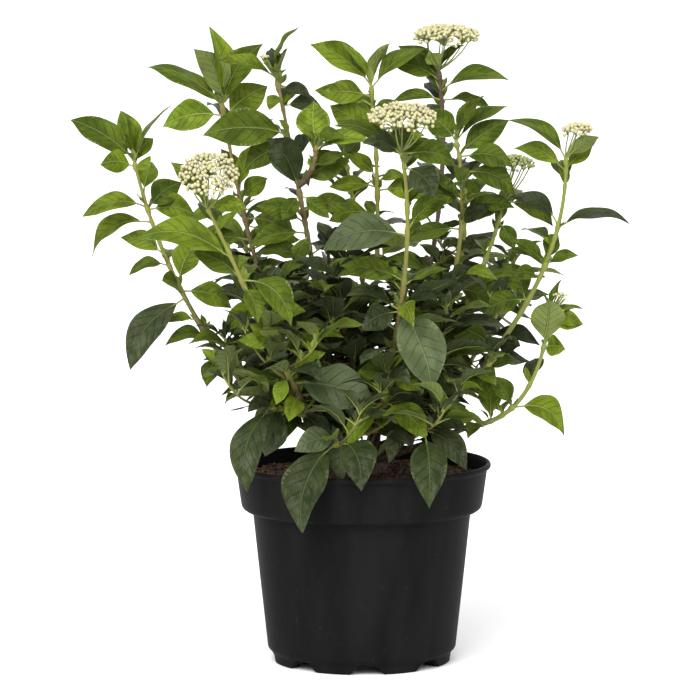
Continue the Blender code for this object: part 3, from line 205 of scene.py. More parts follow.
# Every shoot, in the order in which they grow; its first leaves are measured one by one
SHOOTS = (
    Shoot("leaves_left_outer", "bough_left", 1.0, (-160, -22, 335), (-196, -20, 439), leaves(
        (1.0, 185, 35, 66, -65), (1.0, 240, 75, 42, -90, 0.36), (1.0, 10, 60, 62, 15, 0.3),
        (0.98, 125, 65, 51, -25, 0.45), (0.98, 30, 55, 41, 50, 0.5), (0.97, 200, 5, 34, -85, 0.6),
        (0.97, 290, 5, 44, 45), (0.81, 190, -5, 56, -40, 0.42, 0.16), (0.8, 350, 40, 39, 85, 0.6),
        (0.75, 175, -30, 60, -40, 0.42, 0.2), (0.61, 170, 20, 42, -70),
        (0.56, 195, -10, 37, -35, 0.42, 0.2), (0.48, 20, 60, 45, 60, 0.6),
        (0.42, 195, -50, 78, -55, 0.38), (0.46, 250, 15, 43, -70), (0.45, 350, -15, 46, 70, 0.5),
        (0.31, 170, 0, 32, -40), (0.2, 190, 0, 42, -40, 0.42, 0.22),
        (0.15, 235, -55, 33, -30, 0.5), (0.16, 330, 5, 35, 80, 0.55),
    ), away=(0.1, 0.95), start_turn=0, fullness=0.0, extra=leaves(
        (0.8, 352, -5, 42, 70, 0.6), (0.66, 100, 20, 34),
    )),
    Shoot("leaves_left_flower", "bough_left_front", 1.0, (-94, -98, 326), (-130, -116, 406), leaves(
        (1.0, 155, 50, 51, -50, 0.4), (1.0, 335, 0, 38, 70), (0.72, 190, 15, 82, -60, 0.37),
        (0.6, 168, 30, 48, -65, 0.48), (0.6, 340, -40, 58, 60, 0.48, 0.25),
        (0.58, 300, -50, 39, 20, 0.5), (0.39, 15, 10, 41, 70, 0.45),
    ), head=Head((-128, -124, 436), 27, 26, 38), fill=(0.1, 0.4), away=(0.4, 0.9), start_turn=20,
          fullness=0.5),
    Shoot("leaves_left_young", "bough_left_front", 0.85, (-64, -82, 264), (-83, -94, 302), leaves(
        (0.74, 200, 45, 33, -85, 0.5), (0.74, 190, 15, 34, -75, 0.42),
        (0.42, 340, 35, 39, 80, 0.42), (0.42, 225, -55, 28, -40, 0.55),
        (0.33, 340, -10, 76, 65, 0.53), (1.0, 120, 60, 28, 0, 0.45), (1.0, 300, 55, 24, 0, 0.45),
    ), pairs=4),
    Shoot("leaves_left_rear", "bough_left_rear", 1.0, (-95, 72, 348), (-124, 85, 485), leaves(
        (0.99, 150, 80, 68, -20, 0.38), (0.98, 200, 65, 57, 70, 0.46),
        (0.98, 172, 27, 77, -35, 0.32), (0.98, 350, 56, 66, 60, 0.5),
        (0.95, 175, -10, 56, -75, 0.52), (0.94, 25, 35, 50, 70, 0.6), (0.7, 150, 65, 45, -40),
        (0.69, 335, 75, 50, 70, 0.4), (0.68, 320, 45, 34, 85, 0.55),
        (0.66, 170, -15, 55, -50, 0.38), (0.65, 205, -35, 34, -20), (0.65, 5, -5, 38, 45),
        (0.62, 345, -20, 52, 60, 0.5, 0.16), (0.55, 188, -5, 56, -60),
    ), fill=(0.08, 0.5), away=(0.4, 0.95), start_turn=10, twigs=(0.35,), extra=leaves(
        (0.6, 350, -30, 40, 60, 0.5), (0.52, 10, 10, 44, 50),
    )),
    Shoot("leaves_brown_tall", "bough_centre", 1.0, (-48, 6, 376), (-74, 8, 510), leaves(
        (1.0, 190, 18, 54, -45, 0.34), (1.0, 10, 62, 52, 10, 0.24, 0.2),
        (0.97, 300, 62, 36, 60, 0.46), (0.97, 220, 50, 26, -30, 0.7),
        (0.96, 335, -12, 32, 60, 0.4), (0.99, 120, 45, 36, 0), (0.93, 250, -18, 30, -20, 0.5),
        (0.8, 193, 2, 76, -75, 0.46, 0.14), (0.79, 215, 60, 22, -60, 0.5),
        (0.63, 212, 46, 62, -88, 0.62), (0.61, 235, -35, 33, -35, 0.5), (0.61, 325, -30, 36, 55),
        (0.56, 340, 10, 46, 70, 0.44), (0.52, 200, 20, 48, -70, 0.44),
        (0.48, 255, -40, 34, -5, 0.5),
    ), fill=(0.06, 0.5), away=(0.5, 0.95), start_turn=60, twigs=(0.3,),
          small_head=Head((-84, 8, 527), 4, 7, 8), extra=leaves(
        (0.77, 190, -25, 46, -60, 0.55), (0.655, 350, 0, 50, 60, 0.42),
        (0.49, 185, -12, 52, -60, 0.42), (0.4, 200, 10, 50, -50), (0.36, 345, 0, 50, 50),
        (0.9, 350, -5, 36, 60, 0.5),
    )),
    Shoot("leaves_rear_tall", "bough_rear", 1.0, (14, 92, 365), (8, 100, 499), leaves(
        (0.99, 175, 35, 66, -65, 0.4), (1.0, 190, 55, 46, -45, 0.3), (1.0, 335, 65, 43, -30, 0.36),
        (0.98, 355, 35, 62, 45, 0.36), (0.92, 175, 15, 54, -75, 0.38), (0.91, 320, -10, 36, 65),
        (0.68, 195, 45, 38, -85, 0.4), (0.67, 340, 15, 27, 50, 0.5), (0.65, 165, 0, 45, -75, 0.38),
        (0.8, 185, 40, 52, -75, 0.5),
    ), fill=(0.06, 0.55), away=(0.5, 0.95), start_turn=35, twigs=(0.45,), extra=leaves(
        (0.64, 350, -5, 48, 60, 0.5), (0.56, 190, -5, 46, -60, 0.5), (0.8, 355, 10, 44, 60, 0.5),
        (0.95, 185, 5, 46, -70, 0.5),
    )),
    Shoot("leaves_centre_flower", "bough_centre_front", 1.0, (37, -82, 353), (33, -98, 452), leaves(
        (0.99, 190, 30, 61, -45, 0.34), (0.98, 220, 20, 44, -85, 0.44),
        (0.98, 350, -10, 47, 70, 0.5), (0.92, 310, -30, 47, 45, 0.56),
        (0.62, 200, -5, 76, -70, 0.45), (0.64, 350, 40, 47, 75), (0.44, 190, 15, 57, -75, 0.38),
        (0.4, 195, 40, 55, -35, 0.3), (0.42, 345, 25, 42, 35, 0.3), (0.34, 310, -55, 76, 35, 0.56),
        (0.33, 210, -20, 40, -70, 0.6),
    ), head=Head((34, -102, 482), 31, 24, 14), fill=(0.04, 0.3), away=(0.3, 0.95), start_turn=75,
          extra=leaves(
        (0.96, 120, 55, 34, 0, 0.6), (0.96, 60, 55, 34, 0, 0.6), (0.8, 350, 20, 40, 60),
    )),
    Shoot("leaves_top_flower", "bough_top", 1.0, (68, 100, 382), (68, 108, 512), leaves(
        (1.0, 215, 62, 30, 35, 0.7), (0.99, 20, 45, 33, 30, 0.36), (0.91, 165, 45, 57, -60, 0.38),
        (0.91, 350, 10, 62, 40, 0.34, 0.2), (0.88, 190, 0, 45, -45, 0.36),
        (0.88, 10, -10, 46, 40, 0.36),
    ), head=Head((75, 106, 543), 32, 22, 6), fill=(0.05, 0.5), away=(0.5, 0.95), start_turn=20,
          twigs=(0.3,), extra=leaves(
        (0.95, 182, 22, 46, -65, 0.5), (0.72, 185, -5, 44, -60),
    )),
    Shoot("leaves_right_tall", "bough_right_rear", 1.0, (85, 42, 356), (82, 45, 452), leaves(
        (1.0, 345, 60, 48, 65, 0.36), (1.0, 10, 35, 56, 30, 0.32), (0.98, 195, 50, 42, -90, 0.62),
        (0.91, 15, 35, 56, 65), (0.84, 355, -20, 52, 70), (0.82, 330, -55, 28, 35, 0.5),
        (0.82, 205, -25, 28, -30, 0.5), (0.73, 210, -15, 37, -65, 0.5),
        (0.58, 340, 45, 37, 85, 0.44), (0.58, 190, -10, 50, -55, 0.36), (0.35, 350, -15, 50, 70),
        (0.35, 210, 25, 35, -80, 0.55),
    ), fill=(0.05, 0.5), away=(0.4, 0.95), start_turn=50, twigs=(0.3, 0.62), extra=leaves(
        (0.7, 185, 0, 38, -60, 0.5), (0.91, 350, -8, 50, 55, 0.45), (0.66, 350, 5, 46, 60),
    )),
    Shoot("leaves_right_green", "bough_right_rear", 0.9, (98, 42, 321), (125, 54, 399), leaves(
        (1.0, 210, -30, 31, -55, 0.5), (1.0, 10, -25, 50, 75, 0.4), (0.86, 310, -45, 31, 40, 0.55),
    ), head=Head((135, 52, 435), 18, 26, 8), fill=(0.1, 0.6), away=(0.4, 0.9), start_turn=30,
          pairs=6, size=0.85, twigs=(0.4,)),
    Shoot("leaves_right_outer", "bough_right", 1.0, (160, -2, 349), (176, -5, 441), leaves(
        (0.98, 175, 35, 60, -35, 0.34, 0.18), (0.98, 350, 45, 50, -75, 0.38),
        (0.93, 25, 40, 34, 55, 0.5), (0.93, 170, 25, 50, -50, 0.38),
        (0.67, 170, 30, 50, -55, 0.36, 0.2), (0.66, 355, 5, 62, 25, 0.34, 0.16),
        (0.48, 190, 40, 38, -65, 0.4), (0.48, 170, 20, 39, -20, 0.3), (0.48, 340, 20, 32, 50),
        (0.49, 40, 50, 33, 50, 0.55), (0.43, 210, 5, 29, -75, 0.5), (0.32, 195, -15, 42, -70, 0.5),
        (0.3, 145, 55, 42, -45, 0.55), (0.08, 305, 10, 37, 80, 0.45),
        (0.08, 195, 25, 50, -80, 0.48),
    ), head=Head((186, -3, 467), 14, 20, 6), away=(0.1, 0.9), start_turn=10, twigs=(0.2,),
          fullness=0.0),
    Shoot("leaves_low_right", "bough_right_low", 1.0, (140, -28, 237), (162, -32, 310), leaves(
        (0.82, 282, 72, 47, -10, 0.66, 0.04), (0.81, 322, 5, 26, 75, 0.8),
        (0.98, 10, 12, 30, 30, 0.3), (0.99, 20, 70, 30, 20, 0.3), (0.96, 350, -10, 28, 65, 0.5),
        (0.36, 175, 58, 33, -80, 0.56), (0.36, 345, -24, 52, 65, 0.5, 0.22),
        (0.16, 120, 70, 38, -20, 0.55), (0.08, 200, 15, 45, -75), (0.09, 245, -15, 32, -15, 0.46),
    ), away=(0.1, 0.8), start_turn=5, size=0.8, fullness=0.0,
          small_head=Head((171, -34, 327), 7, 16, 8), extra=leaves(
        (0.93, 355, 2, 31, 75, 0.6),
    )),
    Shoot("leaves_front_low", "bough_centre_front", 0.75, (18, -66, 224), (22, -84, 262), leaves(
        (0.7, 205, -45, 50, -55, 0.42), (0.69, 335, -35, 48, 60, 0.5),
        (0.76, 330, 65, 31, 70, 0.46), (0.96, 205, 10, 30, -75, 0.55),
        (0.96, 335, -15, 34, 65, 0.48),
    ), pairs=3),
    Shoot("leaves_core_left", "bough_left", 0.5, (-58, -24, 268), (-74, -38, 330),
          fill=(0.05, 1.0), start_turn=15, pairs=5, droop=12, twigs=(0.5,)),
    Shoot("leaves_core_centre", "bough_centre", 0.4, (-12, -26, 278), (-22, -42, 336),
          fill=(0.05, 1.0), start_turn=55, pairs=6, droop=14),
    Shoot("leaves_core_right", "bough_right", 0.5, (66, -26, 262), (72, -40, 312),
          fill=(0.05, 1.0), start_turn=5, pairs=5, droop=12, twigs=(0.5,)),
    Shoot("leaves_core_rear", "bough_left_rear", 0.45, (-24, 48, 284), (-30, 60, 356),
          fill=(0.05, 1.0), start_turn=30, pairs=6, droop=8),
    Shoot("leaves_back_left", "bough_left_rear", 0.8, (-84, 92, 288), (-104, 130, 352),
          fill=(0.05, 1.0), start_turn=70, pairs=6, droop=8, twigs=(0.45,)),
    Shoot("leaves_back_middle", "bough_rear", 0.75, (0, 116, 328), (-14, 158, 425),
          fill=(0.08, 1.0), start_turn=24, pairs=6, droop=4, twigs=(0.62,)),
    Shoot("leaves_back_right", "bough_right_rear", 0.6, (82, 92, 318), (92, 134, 405),
          fill=(0.08, 1.0), start_turn=44, pairs=6, droop=4, twigs=(0.62,)),
    Shoot("leaves_back_far_right", "bough_rear_right_low", 1.0, (110, 106, 272), (136, 120, 336),
          fill=(0.05, 1.0), start_turn=80, pairs=6, droop=8, fullness=0.4),
    Shoot("leaves_back_low_left", "bough_rear_left_low", 1.0, (-60, 122, 262), (-66, 152, 316),
          fill=(0.05, 1.0), start_turn=10, pairs=6, droop=12, fullness=0.7),
    Shoot("leaves_back_low_right", "bough_rear_right_low", 0.85, (66, 128, 258), (62, 160, 318),
          fill=(0.05, 1.0), start_turn=60, pairs=6, droop=12, fullness=0.7),
    Shoot("leaves_left_low", "bough_left", 0.85, (-104, -24, 260), (-118, -28, 284),
          fill=(0.1, 1.0), start_turn=20, pairs=5, size=0.8, droop=10, fullness=0.3),
    Shoot("leaves_right_low", "bough_right", 0.8, (101, -21, 254), (116, -28, 268),
          fill=(0.1, 1.0), start_turn=20, pairs=5, size=0.8, droop=10, fullness=0.3),
    Shoot("leaves_brown_side", "leaves_brown_tall", 0.64, (-43, -4, 430), (-40, -8, 448), leaves(
        (1.0, 98, 76, 42, -10, 0.72, 0.05), (0.98, 335, 20, 30, 60, 0.5, 0.3),
        (0.97, 350, 8, 50, 55, 0.36, 0.16), (0.5, 340, 25, 34, 60, 0.4),
        (0.12, 350, 25, 46, 80, 0.62),
    ), away=(0.2, 1.0), pairs=3),
    Shoot("leaves_pot_left", "bough_left_front", 0.55, (-50, -54, 222), (-78, -72, 232), leaves(
        (1.0, 235, -62, 78, -30, 0.36, 0.16), (0.75, 190, -62, 44, -60, 0.7, 0.1),
        (0.88, 246, -46, 42, -40, 0.44, 0.14), (0.55, 300, -40, 48, 30, 0.45, 0.2),
    ), pairs=3),
    Shoot("leaves_pot_front", "bough_centre_front", 0.5, (10, -64, 210), (-25, -92, 200), leaves(
        (1.0, 228, -58, 80, -22, 0.5, 0.2), (0.62, 247, -40, 66, -12, 0.56, 0.27),
        (0.8, 318, -42, 42, 30, 0.42, 0.18), (0.92, 205, -5, 44, -65, 0.55, 0.16),
        (0.6, 330, -12, 46, 40, 0.42, 0.16),
    ), pairs=3, extra=leaves(
        (0.93, 298, -42, 52, 10, 0.66, 0.3),
    )),
    Shoot("leaves_pot_right", "bough_right_low", 0.4, (46, -54, 209), (54, -82, 208), leaves(
        (1.0, 276, -60, 66, 10, 0.52, 0.2), (0.8, 330, -32, 54, 55, 0.42, 0.16),
        (0.72, 236, -34, 46, -30, 0.42, 0.2), (0.55, 350, 5, 44, 60, 0.46, 0.16),
    ), pairs=3),
    Shoot("leaves_pot_back_left", "bough_rear_left_low", 0.6, (-42, 80, 212), (-52, 98, 214),
          fill=(0.5, 1.0), start_turn=128, pairs=4, droop=40),
    Shoot("leaves_pot_back_right", "bough_rear_right_low", 0.55, (38, 82, 210), (34, 104, 214),
          fill=(0.5, 1.0), start_turn=75, pairs=4, droop=42),
)

# The shoots whose buds are still green
GREEN_HEADS = ("leaves_right_green",)


class Path:
    """A smooth limb line through a foot, a middle and a tip given in millimetres."""

    def __init__(
        self, foot: Sequence[float], middle: Sequence[float], tip: Sequence[float]
    ) -> None:
        """Keep the three points, in metres, as a quadratic curve."""
        self.foot = Vector(foot) * MM
        self.tip = Vector(tip) * MM
        self.bend = 2 * Vector(middle) * MM - 0.5 * (self.foot + self.tip)

    def point(self, share: float) -> Vector:
        """The point at a share of the way from foot to tip."""
        rest = 1 - share
        return self.foot * rest * rest + self.bend * 2 * share * rest + self.tip * share * share

    def heading(self, share: float) -> Vector:
        """The direction of growth at a share of the way."""
        rest = 1 - share
        return ((self.bend - self.foot) * rest + (self.tip - self.bend) * share).normalized()


def wall_faces(rings: int, sides: int) -> list[tuple[int, ...]]:
    """The four-sided faces between rings of points that all have the same sides."""
    faces = []
    for i in range(rings - 1):
        for k in range(sides):
            a = i * sides + k
            b = i * sides + (k + 1) % sides
            faces.append((a, b, b + sides, a + sides))
    return faces


def closed_faces(rings: int, sides: int) -> list[tuple[int, ...]]:
    """The faces of a limb made of rings of points, with a flat cap at each end."""
    last = (rings - 1) * sides
    foot, tip = tuple(reversed(range(sides))), tuple(range(last, last + sides))
    return [foot, *wall_faces(rings, sides), tip]


def tube(
    path: Path, radii: tuple[float, float], sides: int, rings: int,
    start: float = 0.0, end: float = 1.0,
) -> Solid:
    """A tapering limb along a path, closed at both ends.

    Args:
        path: The line of the limb.
        radii: Its radius at the foot and at the tip.
        sides: How many sides it has.
        rings: How many rings of points it has.
        start: The share of the path where it starts.
        end: The share of the path where it ends.

    Returns:
        The points and the faces.
    """
    points = []
    side = None
    for i in range(rings):
        share = start + (end - start) * i / (rings - 1)
        heading = path.heading(share)
        if side is None:
            side = heading.cross(Vector((0, 1, 0.2))).normalized()
        side = (side - heading * side.dot(heading)).normalized()
        other = heading.cross(side)
        radius = radii[0] + (radii[1] - radii[0]) * share
        for k in range(sides):
            angle = math.tau * (k + 0.5) / sides
            points.append(
                path.point(share) + (side * math.cos(angle) + other * math.sin(angle)) * radius
            )
    return points, closed_faces(rings, sides)


def leaf_frame(leaf: Leaf) -> tuple[Vector, Vector, Vector, Vector]:
    """The directions along a leaf, across it, out of its face, and of its arch."""
    turn = math.radians(leaf.turn)
    rise = math.radians(leaf.rise)
    tilt = math.radians(leaf.tilt)
    along = Vector(
        (math.cos(turn) * math.cos(rise), math.sin(turn) * math.cos(rise), math.sin(rise))
    )
    level = along.cross(Vector((0, 0, 1))).normalized()
    upper = level.cross(along)
    face = upper * math.cos(tilt) + level * math.sin(tilt)
    return along, along.cross(face), face, upper


def leaf_solid(root: Vector, leaf: Leaf, spare: float = 0.0, whole: bool = True) -> Solid:
    """The plain solid of a leaf: a thin arched blade with a keel along its underside.

    Args:
        root: The point inside the stem where the leaf starts.
        leaf: The leaf's directions and sizes.
        spare: Clear room kept on every side.
        whole: Whether to start at the root, and not where the stalk widens.

    Returns:
        The points and the faces.
    """
    along, across, face, upper = leaf_frame(leaf)
    length = leaf.length * MM
    half = 0.5 * leaf.width * length
    rings = [(-LEAF_SUNK / length, STALK_HALF_WIDTH, STALK_DEPTH)]
    if not whole:
        rings = [(0.24, 0.4 * half, LEAF_THICKNESS)]
    rings += [(share, wide * half, LEAF_THICKNESS) for share, wide in WIDE_AT]

    def middle(share: float) -> Vector:
        """The middle line of the blade."""
        lift = 4 * share * (1 - share) * leaf.arch * length
        return root + along * length * share + upper * lift

    points = []
    for share, wide, deep in rings:
        points.append(middle(share) - across * (wide + spare) + face * spare)
        points.append(middle(share) + across * (wide + spare) + face * spare)
        points.append(middle(share) - face * (deep + spare))
    points.append(middle(1.0) + along * spare)
    faces = [(0, 1, 2), *wall_faces(len(rings), 3)]
    last = 3 * (len(rings) - 1)
    faces += [(last + k, last + (k + 1) % 3, len(points) - 1) for k in range(3)]
    return points, faces


def head_frame(head: Head) -> tuple[Vector, Vector, Vector]:
    """The directions up, to the side and to the front of a flower head."""
    lean = math.radians(head.lean)
    up = Vector((0, -math.sin(lean), math.cos(lean)))
    side = Vector((1, 0, 0))
    return up, side, up.cross(side)


def head_solid(head: Head, spare: float = 0.0) -> Solid:
    """The plain solid of a flower head, a low dome over a shallow cone, with spare room."""
    up, side, front = head_frame(head)
    centre = Vector(head.centre) * MM
    radius = head.radius * MM + spare
    height = head.height * MM
    sides = 10
    points = [centre - up * (0.62 * height + spare)]
    for share, level in ((0.70, -0.38), (1.0, -0.02), (0.80, 0.30)):
        for k in range(sides):
            angle = math.tau * k / sides
            out = side * math.cos(angle) + front * math.sin(angle)
            points.append(centre + out * radius * share + up * (level * height))
    points.append(centre + up * (0.42 * height + spare))
    faces: list[tuple[int, ...]] = []
    for k in range(sides):
        a = 1 + k
        b = 1 + (k + 1) % sides
        faces.append((0, b, a))
        for ring in range(2):
            low = ring * sides
            faces.append((a + low, b + low, b + low + sides, a + low + sides))
        faces.append((a + 2 * sides, b + 2 * sides, len(points) - 1))
    return points, faces


def box_of(points: Sequence[Vector]) -> tuple[list[float], list[float]]:
    """The lowest and the highest corner of the box round some points."""
    low, high = ([pick(p[i] for p in points) for i in range(3)] for pick in (min, max))
    return low, high


class Space:
    """What already stands in the crown, so that nothing new runs through it."""

    def __init__(self) -> None:
        """Start with nothing in the way."""
        self.taken: list[tuple[str, BVHTree, list[float], list[float]]] = []

    def add(self, name: str, points: Sequence[Vector], faces: Sequence[tuple[int, ...]]) -> None:
        """Keep a solid, with the name of what it belongs to."""
        tree = BVHTree.FromPolygons([Vector(p) for p in points], faces)
        self.taken.append((name, tree, *box_of(points)))

    def add_object(self, obj: Object) -> None:
        """Keep an object's mesh."""
        points = [vertex.co.copy() for vertex in obj.data.vertices]
        self.add(obj.name, points, [tuple(face.vertices) for face in obj.data.polygons])

    def clear(
        self, points: Sequence[Vector], faces: Sequence[tuple[int, ...]],
        skip: tuple = (), only: str = "", owner: str = "nobody",
    ) -> bool:
        """Whether a solid stands clear of all that is taken.

        Args:
            points: The points of the solid.
            faces: Its faces.
            skip: Names of what it may touch.
            only: The one name to test against, where given.
            owner: The mass whose own stem, twigs and leaves it may touch.

        Returns:
            Whether nothing else is touched.
        """
        low, high = box_of(points)
        tree = None
        for name, other, its_low, its_high in self.taken:
            if name in skip or (only and name != only) or name.startswith(owner + " "):
                continue
            if any(low[i] > its_high[i] or high[i] < its_low[i] for i in range(3)):
                continue
            if tree is None:
                tree = BVHTree.FromPolygons([Vector(p) for p in points], faces)
            if tree.overlap(other):
                return False
        return True

    def distance(self, point: Vector, names: Iterable[str]) -> float:
        """How far a point lies outside the named solids, negative inside one."""
        least = 1.0
        for name, tree, _, _ in self.taken:
            if name not in names:
                continue
            spot, normal, _, far = tree.find_nearest(point)
            inside = (point - spot).dot(normal) < 0
            least = min(least, -far if inside else far)
        return least

    def clear_start(
        self, path: Path, radii: tuple[float, float], sides: int, others: list[str]
    ) -> float:
        """The share of the path at which a limb first stands clear of the others."""
        for i in range(300):
            share = i / 500
            points, _ = tube(path, radii, sides, 2, share, min(1.0, share + 0.01))
            ring = points[:sides]
            spots = ring + [(ring[k] + ring[(k + 1) % sides]) / 2 for k in range(sides)]
            spots.append(path.point(share))
            if min(self.distance(spot, others) for spot in spots) >= 1.3 * GAP:
                return share
        return 0.0


def trunk_point(height: float) -> Point:
    """The middle of the trunk at a height in mm."""
    foot_height = SOIL_HEIGHT / MM
    share = (height - foot_height) / (TRUNK_TOP[2] - foot_height)
    x = TRUNK_FOOT[0] + share * (TRUNK_TOP[0] - TRUNK_FOOT[0])
    y = TRUNK_FOOT[1] + share * (TRUNK_TOP[1] - TRUNK_FOOT[1])
    return x, y, height


@dataclass
class Placed:
    """A leaf that has found its place, where it leaves its stem, and its number if measured."""

    leaf: Leaf
    root: Vector
    mark: int = -1


def side_path(
    foot: Vector, turn: float, long: float, spread: tuple[float, float], rise: tuple[float, float]
) -> Path:
    """The line of a side growth.

    Args:
        foot: Where it leaves its stem.
        turn: Its compass turn in degrees.
        long: Its length.
        spread: How far out its middle and its tip are, as shares of the length.
        rise: How far up its middle and its tip are, in metres.

    Returns:
        The line.
    """
    angle = math.radians(turn)
    out = Vector((math.cos(angle), math.sin(angle), 0))
    middle, tip = (foot + out * long * far + Vector((0, 0, up)) for far, up in zip(spread, rise))
    return Path(foot / MM, middle / MM, tip / MM)


class Mass:
    """One leafy shoot as it grows: its stem, and the leaves and twigs on it."""

    def __init__(self, shoot: Shoot, space: Space, limbs: dict[str, Path]) -> None:
        """Set the stem just clear of the limb that bears it and of all that stands.

        Args:
            shoot: What grows here.
            space: What already stands in the crown.
            limbs: The path of each limb and stem by its name; this one is added.
        """
        self.shoot = shoot
        self.space = space
        self.placed: list[Placed] = []
        self.twigs: list[Path] = []
        self.random = Random(f"{SEED} {shoot.name}")
        foot = limbs[shoot.bearer].point(shoot.place) / MM
        middle = shoot.middle
        others = ["trunk", *limbs] + [name + " stem" for name in limbs]
        for shift in STEM_SHIFTS:
            bent = (middle[0], middle[1] + shift, middle[2])
            self.path = Path(foot, bent, shoot.tip)
            self.start = space.clear_start(self.path, STEM_RADII, 5, others)
            stem = tube(self.path, STEM_RADII, 5, 5, self.start)
            if space.clear(*stem):
                break
        limbs[shoot.name] = self.path
        space.add(shoot.name + " stem", *stem)

    def add_head(self) -> None:
        """Keep room for the flower head."""
        if self.shoot.head:
            self.space.add(
                self.shoot.name + " head", *head_solid(self.shoot.head, LEAF_CLEARANCE)
            )

    def try_leaf(
        self, leaf: Leaf, root: Vector, skip: tuple, crowded: bool = False, mark: int = -1
    ) -> bool:
        """Place a leaf, giving way a little where it would touch something.

        Args:
            leaf: The leaf as wished.
            root: The point in the stem or twig where it starts.
            skip: Names of the solids that it may touch.
            crowded: Whether it may touch its sister leaves too, as in a tight tip.
            mark: Its number among the leaves measured one by one.

        Returns:
            Whether a place was found.
        """
        own = self.shoot.name + " leaf"
        for turn, rise, share in GIVE_WAY:
            tried = replace(
                leaf, turn=leaf.turn + turn, rise=leaf.rise + rise, length=leaf.length * share
            )
            full = leaf_solid(root, tried, LEAF_CLEARANCE)
            roomy = leaf_solid(root, tried, LEAF_CLEARANCE, False)
            close = leaf_solid(root, tried, SISTER_CLEARANCE, False)
            if not self.space.clear(*full, owner=self.shoot.name):
                continue
            if not self.space.clear(*roomy, (*skip, own)):
                continue
            if crowded or self.space.clear(*close, only=own):
                self.placed.append(Placed(tried, root, mark))
                self.space.add(own, *leaf_solid(root, tried))
                return True
        return False

    def own_stem(self, at: float) -> tuple:
        """The stem that a leaf may touch: its own, near the tip where leaves stand close."""
        return (self.shoot.name + " stem",) if at > 0.9 else ()

    def add_seen_leaves(self) -> None:
        """The leaves that were measured one by one."""
        for mark, leaf in enumerate(self.shoot.leaves):
            at = max(leaf.at, self.start + 0.03)
            root = self.path.point(min(at, 0.99))
            stem = (self.shoot.name + " stem",)
            placed = self.try_leaf(leaf, root, self.own_stem(leaf.at), mark=mark)
            placed = placed or self.try_leaf(leaf, root, stem, True, mark=mark)

    def rule_leaf(self, at: float, turn: float) -> Leaf:
        """A leaf by the rule: larger and lower at the foot, smaller and steeper at the tip."""
        shoot = self.shoot
        length = LEAF_LENGTH + (YOUNG_LEAF_LENGTH - LEAF_LENGTH) * max(0.0, at - 0.3) / 0.7
        return Leaf(
            at,
            turn + self.random.uniform(-14, 14),
            -14 + 58 * at - shoot.droop + self.random.uniform(-9, 9),
            length * shoot.size * self.random.uniform(0.88, 1.12),
            self.random.uniform(-35, 35),
            LEAF_WIDTH_SHARE * self.random.uniform(0.9, 1.15),
            self.random.uniform(0.08, 0.18),
        )

    def add_rule_leaves(self) -> None:
        """Crossed pairs of leaves between the places of fill, and single ones to the back."""
        shoot = self.shoot
        for i in range(shoot.pairs):
            at = 0.08 + 0.91 * (i / max(1, shoot.pairs - 1)) ** 0.9
            turns = [shoot.start_turn + 90 * i, shoot.start_turn + 90 * i + 180]
            for turn in turns:
                leaf = self.rule_leaf(at, turn % 360)
                back = 50 < leaf.turn % 360 < 130
                inside = shoot.fill[0] <= at <= shoot.fill[1]
                behind = back and shoot.away[0] <= at <= shoot.away[1]
                if at > self.start + 0.02 and (inside or behind):
                    self.try_leaf(leaf, self.path.point(at), self.own_stem(at))

    def add_twigs(self) -> None:
        """Short side growths, each with two crossed pairs of young leaves."""
        for at in self.shoot.twigs:
            if at < self.start + 0.03:
                continue
            turn = self.random.uniform(0, 360)
            foot = self.path.point(at)
            for step in range(6):
                way = turn + 60 * step
                long = self.random.uniform(26, 40) * MM
                twig = side_path(foot, way, long, (0.40, 0.62), (long * 0.32, long * 0.78))
                radii = (TWIG_RADIUS, 0.85 * TWIG_RADIUS)
                wide = (radii[0] + LEAF_CLEARANCE, radii[1] + LEAF_CLEARANCE)
                if self.space.clear(*tube(twig, wide, 3, 3, 0.22, 1.0)):
                    name = self.keep_twig(twig, at, tube(twig, radii, 3, 3, 0.15, 1.0))
                    self.add_twig_leaves(twig, way, name)
                    break

    def keep_twig(self, twig: Path, at: float, solid: Solid) -> str:
        """Keep a side growth that has found its place, and give it a name."""
        name = f"{self.shoot.name} twig {at}"
        self.twigs.append(twig)
        self.space.add(name, *solid)
        return name

    def add_twig_leaves(self, twig: Path, turn: float, name: str) -> None:
        """The young leaves of one side growth."""
        for at, first, share in ((0.62, 90, 0.9), (0.97, 0, 0.75)):
            for side in (0, 180):
                leaf = Leaf(
                    at,
                    (turn + first + side + self.random.uniform(-15, 15)) % 360,
                    22 + self.random.uniform(-12, 22),
                    YOUNG_LEAF_LENGTH * share * self.random.uniform(0.85, 1.1),
                    self.random.uniform(-40, 40),
                    LEAF_WIDTH_SHARE * self.random.uniform(0.9, 1.1),
                    0.12,
                )
                self.try_leaf(leaf, twig.point(at), (name,))

    def add_extra_leaves(self) -> None:
        """The leaves behind and between those that have a solid."""
        for leaf in self.shoot.extra:
            self.try_leaf(leaf, self.path.point(leaf.at), self.own_stem(leaf.at), mark=EXTRA)

